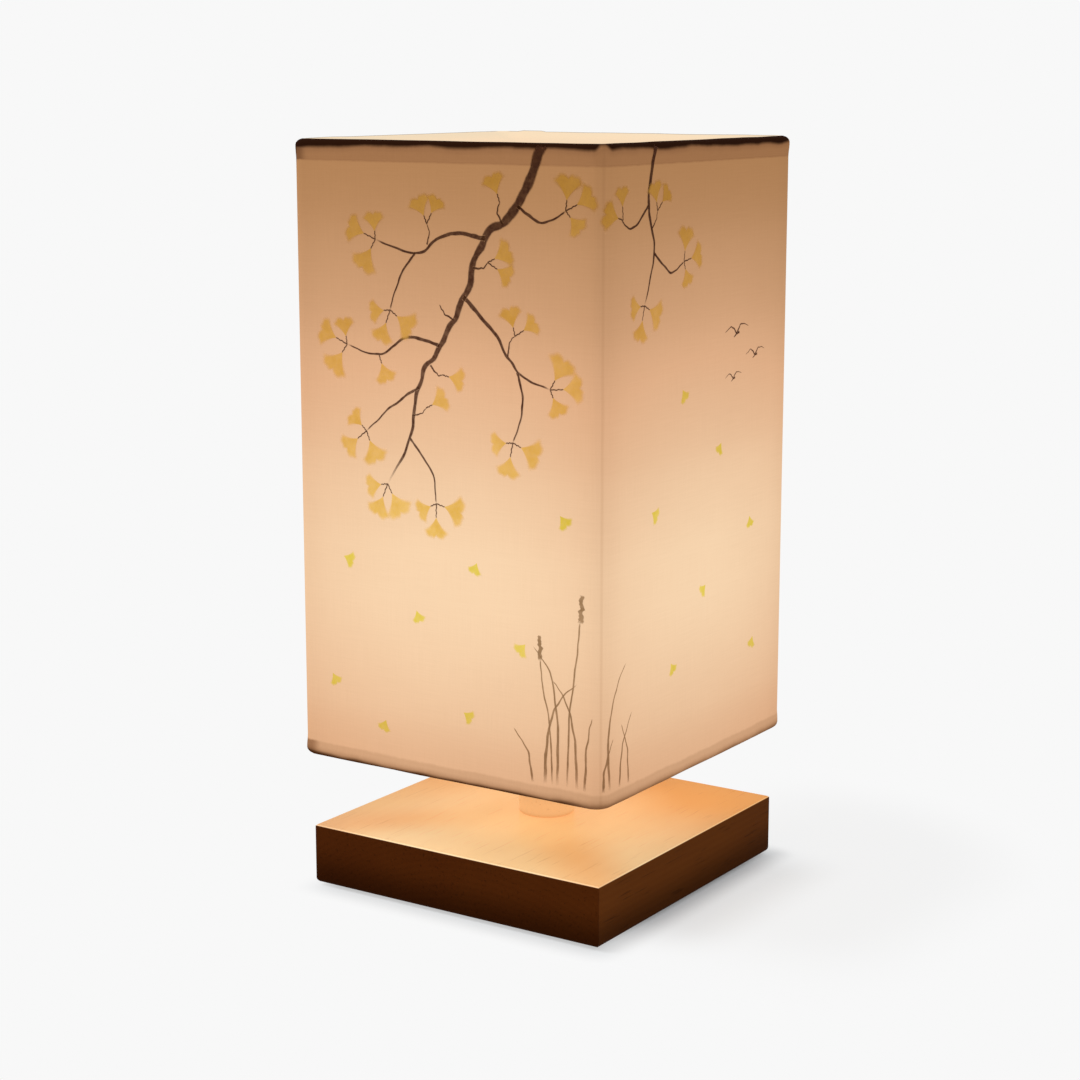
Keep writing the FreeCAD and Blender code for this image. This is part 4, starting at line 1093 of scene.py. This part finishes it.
turned_wood = Finish("turned_wood", {"Roughness": 0.5, "Specular IOR Level": 0.15})
growth, pores = board(turned_wood, rings=180)
body = turned_wood.blend(growth * 0.5, colour(192, 140, 84), colour(202, 150, 94))
turned_wood.paint(pores * 0.2, body, colour(130, 80, 40))
# Painted shade at the foot, where the collar meets the top.
risen = (turned_wood.z - COLLAR_FOOT).past(0, 2)
warm = turned_wood.blend(risen, (0.36, 0.20, 0.085, 1), (0.47, 0.295, 0.14, 1))
turned_wood.glow(turned_wood.dim(pores * 0.3, warm, (0.7, 0.6, 0.5, 1)))
turned_wood.bump(growth, 0.1 * MM, 0.2)
dress(turned_wood, "stem_collar")

# %% [markdown]
# ## Moulded plastics
# The rest of the lamp is ordinary hardware. Its plastics, rubber and ceramic differ in colour, gloss and
# the scale of the mould's texture, so one function makes them all. Each still has mottled colour, uneven
# gloss and fine relief.

# %% Plastics
def plastic(name, tint, roughness, mark=900, depth=0.04 * MM, coat=0.0):
    """A moulded surface with a faint mottle and the fine texture of its mould."""
    finish = Finish(name, {"Coat Weight": coat})
    mottle = finish.noise(70)
    finish.paint(mottle, scaled(tint, 0.86), tint)
    finish.show({"Roughness": roughness - 0.06 + 0.12 * mottle})
    finish.bump(finish.noise(mark, detail=2.0), depth, 0.4)
    return finish


holder_white = plastic("holder_plastic", colour(236, 231, 222), 0.35)
dress(holder_white, "holder_cap", "holder_skirt", "shade_ring")
dress(plastic("block_nylon", colour(226, 223, 210), 0.45), "terminal_block")
dress(plastic("inlet_rubber", colour(38, 35, 33), 0.7, 1500, 0.08 * MM), "cord_grommet")
dress(plastic("live_sleeve", colour(104, 62, 34), 0.4), "live_lead")
dress(plastic("neutral_sleeve", colour(46, 92, 150), 0.4), "neutral_lead")
dress(plastic("carrier_ceramic", colour(232, 226, 214), 0.22, 400, coat=0.4), "contact_carrier")
dress(plastic("bulb_housing", colour(240, 239, 235), 0.35), "bulb_housing")
dress(plastic("board_lacquer", colour(235, 236, 232), 0.3), "led_board")
dress(plastic("cap_glass", colour(30, 28, 34), 0.12, 300), "cap_insulator")
enamel = plastic("wire_enamel", colour(240, 232, 218), 0.4, 1300, 0.06 * MM)
dress(enamel, "bottom_wire", "top_wire", "fitter_ring")
dress(enamel, *["spider_arm_" + way for way in ("front", "right", "back", "left")])

# %% [markdown]
# ## Metals and fibre board
# Screws, tube and contacts are plated steel and brass. Fine marks from turning run round them, and patches
# of tarnish change colour and gloss together. The cover under the base is pressed fibre, whose strands
# cross both ways.

# %% Metals
TURNING_MARKS = (40, 40, 2600)


def metal(name, bright, dull, roughness):
    """A bare or plated metal with fine turning marks and patches of tarnish."""
    finish = Finish(name, {"Metallic": 1.0})
    tarnish = finish.noise(110)
    finish.paint(tarnish, bright, dull)
    finish.show({"Roughness": roughness - 0.08 + 0.16 * tarnish})
    finish.bump(finish.noise(1.0, TURNING_MARKS, 2.0), 0.04 * MM, 0.5)
    return finish


zinc = metal("zinc_steel", colour(208, 210, 212), colour(172, 176, 182), 0.32)
dress(zinc, "cover_screws", "stem_tube", "stem_washer", "stem_nut", "block_screw")
brass = metal("brass", colour(224, 188, 110), colour(186, 144, 74), 0.3)
dress(brass, "block_pole_screws", "live_terminal", "neutral_terminal", "holder_terminal_screws")
dress(brass, "centre_contact", "shell_rivet", "screw_shell")
nickel = metal("cap_nickel", colour(214, 214, 210), colour(184, 184, 180), 0.28)
dress(nickel, "bulb_cap")
dress(metal("solder", colour(190, 192, 196), colour(150, 152, 158), 0.45), "cap_contact")

# %% Fibre board
fibre = Finish("fibre_board", {"Roughness": 0.85})
strands = fibre.noise(1.0, (500, 120, 500), 4.0) * 0.5 + fibre.noise(1.0, (120, 500, 500), 4.0) * 0.5
fibre.paint(strands.between(0.35, 0.65), colour(92, 68, 46), colour(128, 98, 68))
fibre.bump(strands, 0.15 * MM, 0.6)
dress(fibre, "base_cover")

# %% [markdown]
# ## The bulb
# The dome is opal plastic, lit from inside and almost white. It gives off light of its own, with a faint
# cloud so that it isn't flat. The chips on the board carry a yellow phosphor, which is grainy close by.

# %% Bulb dome and chips
opal = Finish("opal_dome", {"Roughness": 0.3})
cloud = opal.noise(60)
opal.paint(cloud, colour(214, 206, 190), colour(204, 194, 174))
opal.glow(opal.blend(cloud, (0.46, 0.39, 0.27, 1), (0.40, 0.33, 0.22, 1)))
dress(opal, "bulb_dome")
phosphor = Finish("chip_phosphor", {"Roughness": 0.5})
speck = phosphor.noise(2500)
phosphor.paint(speck, colour(232, 190, 60), colour(250, 214, 90))
phosphor.bump(speck, 0.05 * MM, 0.4)
dress(phosphor, "led_chips")

# %% [markdown]
# ## Screw threads
# The bulb's cap is rolled from thin metal, with a round thread, and the holder's skirt has a fine one for
# the ring nut. The solids show both as plain cylinders. A thread could be drawn as bump, but its crests
# show on the outline. A Screw modifier sweeps a short wave round the axis, one pitch higher on each turn,
# so that the turns join into one wall. Bisect then trims the two ends.

# %% A thread
WAVE_CUTS, TURN_STEPS = 9, 64


def wave(name, crest, valley, pitch, low):
    """One pitch of a round thread, as a line of short edges, one pitch below the thread's start."""
    middle, swing = (crest + valley) / 2, (crest - valley) / 2
    place = {"location": (middle, 0, low - pitch), "rotation": (math.radians(90), 0, 0)}
    piece = new_piece(name, bpy.ops.mesh.primitive_plane_add, size=pitch, **place)
    bpy.ops.object.mode_set(mode="EDIT")
    pick(piece, "VERT", lambda point: point.co.x > middle)
    bpy.ops.mesh.delete(type="VERT")
    bpy.ops.mesh.select_all(action="SELECT")
    bpy.ops.mesh.subdivide(number_cuts=WAVE_CUTS)
    bpy.ops.object.mode_set(mode="OBJECT")
    for vertex in piece.data.vertices:
        share = (vertex.co.z - low) / pitch
        vertex.co = (middle + swing * math.cos(2 * math.pi * share), 0, vertex.co.z)
    return piece


def thread(name, crest, valley, pitch, low, high):
    """A round thread about Z from low to high, as a thin open wall, left in edit mode."""
    piece = wave(name, crest, valley, pitch, low)
    sweep = piece.modifiers.new("sweep", "SCREW")
    sweep.axis, sweep.angle, sweep.screw_offset = "Z", 2 * math.pi, pitch
    sweep.iterations = math.ceil((high - low) / pitch) + 2
    sweep.steps = sweep.render_steps = TURN_STEPS
    sweep.use_merge_vertices, sweep.merge_threshold = True, TINY
    bpy.ops.object.modifier_apply(modifier=sweep.name)
    bpy.ops.object.mode_set(mode="EDIT")
    bpy.ops.mesh.select_all(action="SELECT")
    bpy.ops.mesh.remove_doubles(threshold=TINY)
    for height, end in ((low, "clear_inner"), (high, "clear_outer")):
        bpy.ops.mesh.select_all(action="SELECT")
        bpy.ops.mesh.bisect(plane_co=(0, 0, height), plane_no=(0, 0, 1), **{end: True})
    return piece


print("threads are swept in", TURN_STEPS, "steps a turn")

# %% Ends of a thread
def draw_rim(piece, height, steps):
    """Extrudes the open rim at a height through steps of (radius, height)."""
    pick_rim(piece, height)
    for radius, level in steps:
        bpy.ops.mesh.extrude_region_move()
        shape = bmesh.from_edit_mesh(piece.data)
        for point in (vertex for vertex in shape.verts if vertex.select):
            point.co.xy = point.co.xy.normalized() * radius
            point.co.z = level
        bmesh.update_edit_mesh(piece.data)


def finish_thread(piece, thickness, finish):
    """Gives a thread its wall and its finish."""
    face_outwards()
    thicken(piece, thickness)
    piece.data.materials.append(finish.owner)
    print(piece.name, len(piece.data.polygons), "faces,", round(piece.dimensions.z / MM, 1), "mm high")


print("rims are drawn by extruding the open edges")

# %% [markdown]
# The cap's thread starts above a plain rim, which is drawn in towards the glass at its foot, and ends below
# a plain collar that holds the bulb's housing.

# %% Bulb cap
CAP_LOW, CAP_HIGH = [corner.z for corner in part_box("bulb_cap")]
CAP_CREST, CAP_VALLEY, CAP_PITCH, CAP_WALL = 13.2 * MM, 12.75 * MM, 3.63 * MM, 0.12 * MM
CAP_START, CAP_END = CAP_LOW + 1.4 * MM, CAP_HIGH - 3.6 * MM
CAP_FOOT = ((12.7 * MM, CAP_LOW + 0.9 * MM), (12.2 * MM, CAP_LOW + 0.2 * MM))
CAP_COLLAR = ((13.0 * MM, CAP_HIGH - 3.0 * MM), (13.0 * MM, CAP_HIGH))

cap = thread("bulb_cap_thread", CAP_CREST, CAP_VALLEY, CAP_PITCH, CAP_START, CAP_END)
draw_rim(cap, CAP_START, CAP_FOOT)
draw_rim(cap, CAP_END, CAP_COLLAR)
finish_thread(cap, CAP_WALL, nickel)
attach(cap, "bulb")
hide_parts("bulb_cap")

# %% [markdown]
# The skirt's thread is fine and shallow. Its ends run out flush with the skirt, so it may lie over the
# solid.

# %% Holder thread
RING_LOW, SKIRT_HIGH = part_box("shade_ring")[0].z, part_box("holder_skirt")[1].z
SKIRT_RADIUS, SKIRT_PITCH, SKIRT_WALL = 19.5 * MM, 2.5 * MM, 0.2 * MM
SKIRT_CREST, SKIRT_VALLEY = SKIRT_RADIUS + 0.22 * MM, SKIRT_RADIUS - 0.05 * MM
SKIRT_START, SKIRT_END = RING_LOW + 0.4 * MM, SKIRT_HIGH - 1.5 * MM
RUN_OUT = 0.2 * MM

ridge = thread("holder_thread", SKIRT_CREST, SKIRT_VALLEY, SKIRT_PITCH, SKIRT_START, SKIRT_END)
draw_rim(ridge, SKIRT_START, ((SKIRT_VALLEY, SKIRT_START - RUN_OUT),))
draw_rim(ridge, SKIRT_END, ((SKIRT_VALLEY, SKIRT_END + RUN_OUT),))
finish_thread(ridge, SKIRT_WALL, holder_white)
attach(ridge, "base")

# %% [markdown]
# ## Felt pads
# Four felt discs keep the base from scratching the table. A cylinder would look like a coin, while cut felt
# has a soft, slightly rounded edge and a fuzzy face. One disc is modelled with bevelled rims and copied to
# each foot.

# %% Felt finish
felt = Finish("felt", {"Roughness": 0.95, "Sheen Weight": 0.4, "Sheen Roughness": 0.6})
fuzz = felt.noise(1400, detail=4.0)
felt.paint(fuzz, colour(52, 44, 38), colour(84, 74, 64))
felt.bump(fuzz, 0.3 * MM, 0.8)
print(felt.owner.name, "is ready")

# %% One pad
PAD_BEVEL, PAD_INSET = 0.3 * MM, 2 * MM

first_low, first_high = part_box("foot_pad_front_left")
across, thick = first_high.x - first_low.x, first_high.z - first_low.z
disc = {"vertices": 48, "radius": across / 2, "depth": thick, "location": (0, 0, thick / 2)}
pad_model = new_piece("pad_model", bpy.ops.mesh.primitive_cylinder_add, **disc)
bpy.ops.object.mode_set(mode="EDIT")
pick(pad_model, "EDGE", lambda edge: run_of(edge)[2] < TINY)
bpy.ops.mesh.bevel(offset=PAD_BEVEL, segments=3)
pick(pad_model, "FACE", lambda face: abs(face.normal.z) > 0.99)
bpy.ops.mesh.inset(thickness=PAD_INSET)
bpy.ops.object.mode_set(mode="OBJECT")
bpy.ops.object.shade_smooth_by_angle(angle=SMOOTH_ANGLE)
pad_model.data.materials.append(felt.owner)
print("pad:", round(across / MM, 1), "mm across and", round(thick / MM, 1), "mm thick")

# %% Four pads
def lay_pad(node):
    """A copy of the pad where the CAD pad is."""
    low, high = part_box(node)
    pad = copy_of(pad_model, node + "_felt")
    middle = (low + high) / 2
    pad.data.transform(Matrix.Translation((middle.x, middle.y, low.z)))
    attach(pad, "base")
    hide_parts(node)
    print("pad:", pad.name)


for end in ("front_left", "front_right", "back_left", "back_right"):
    lay_pad("foot_pad_" + end)
bpy.data.objects.remove(pad_model)

# %% [markdown]
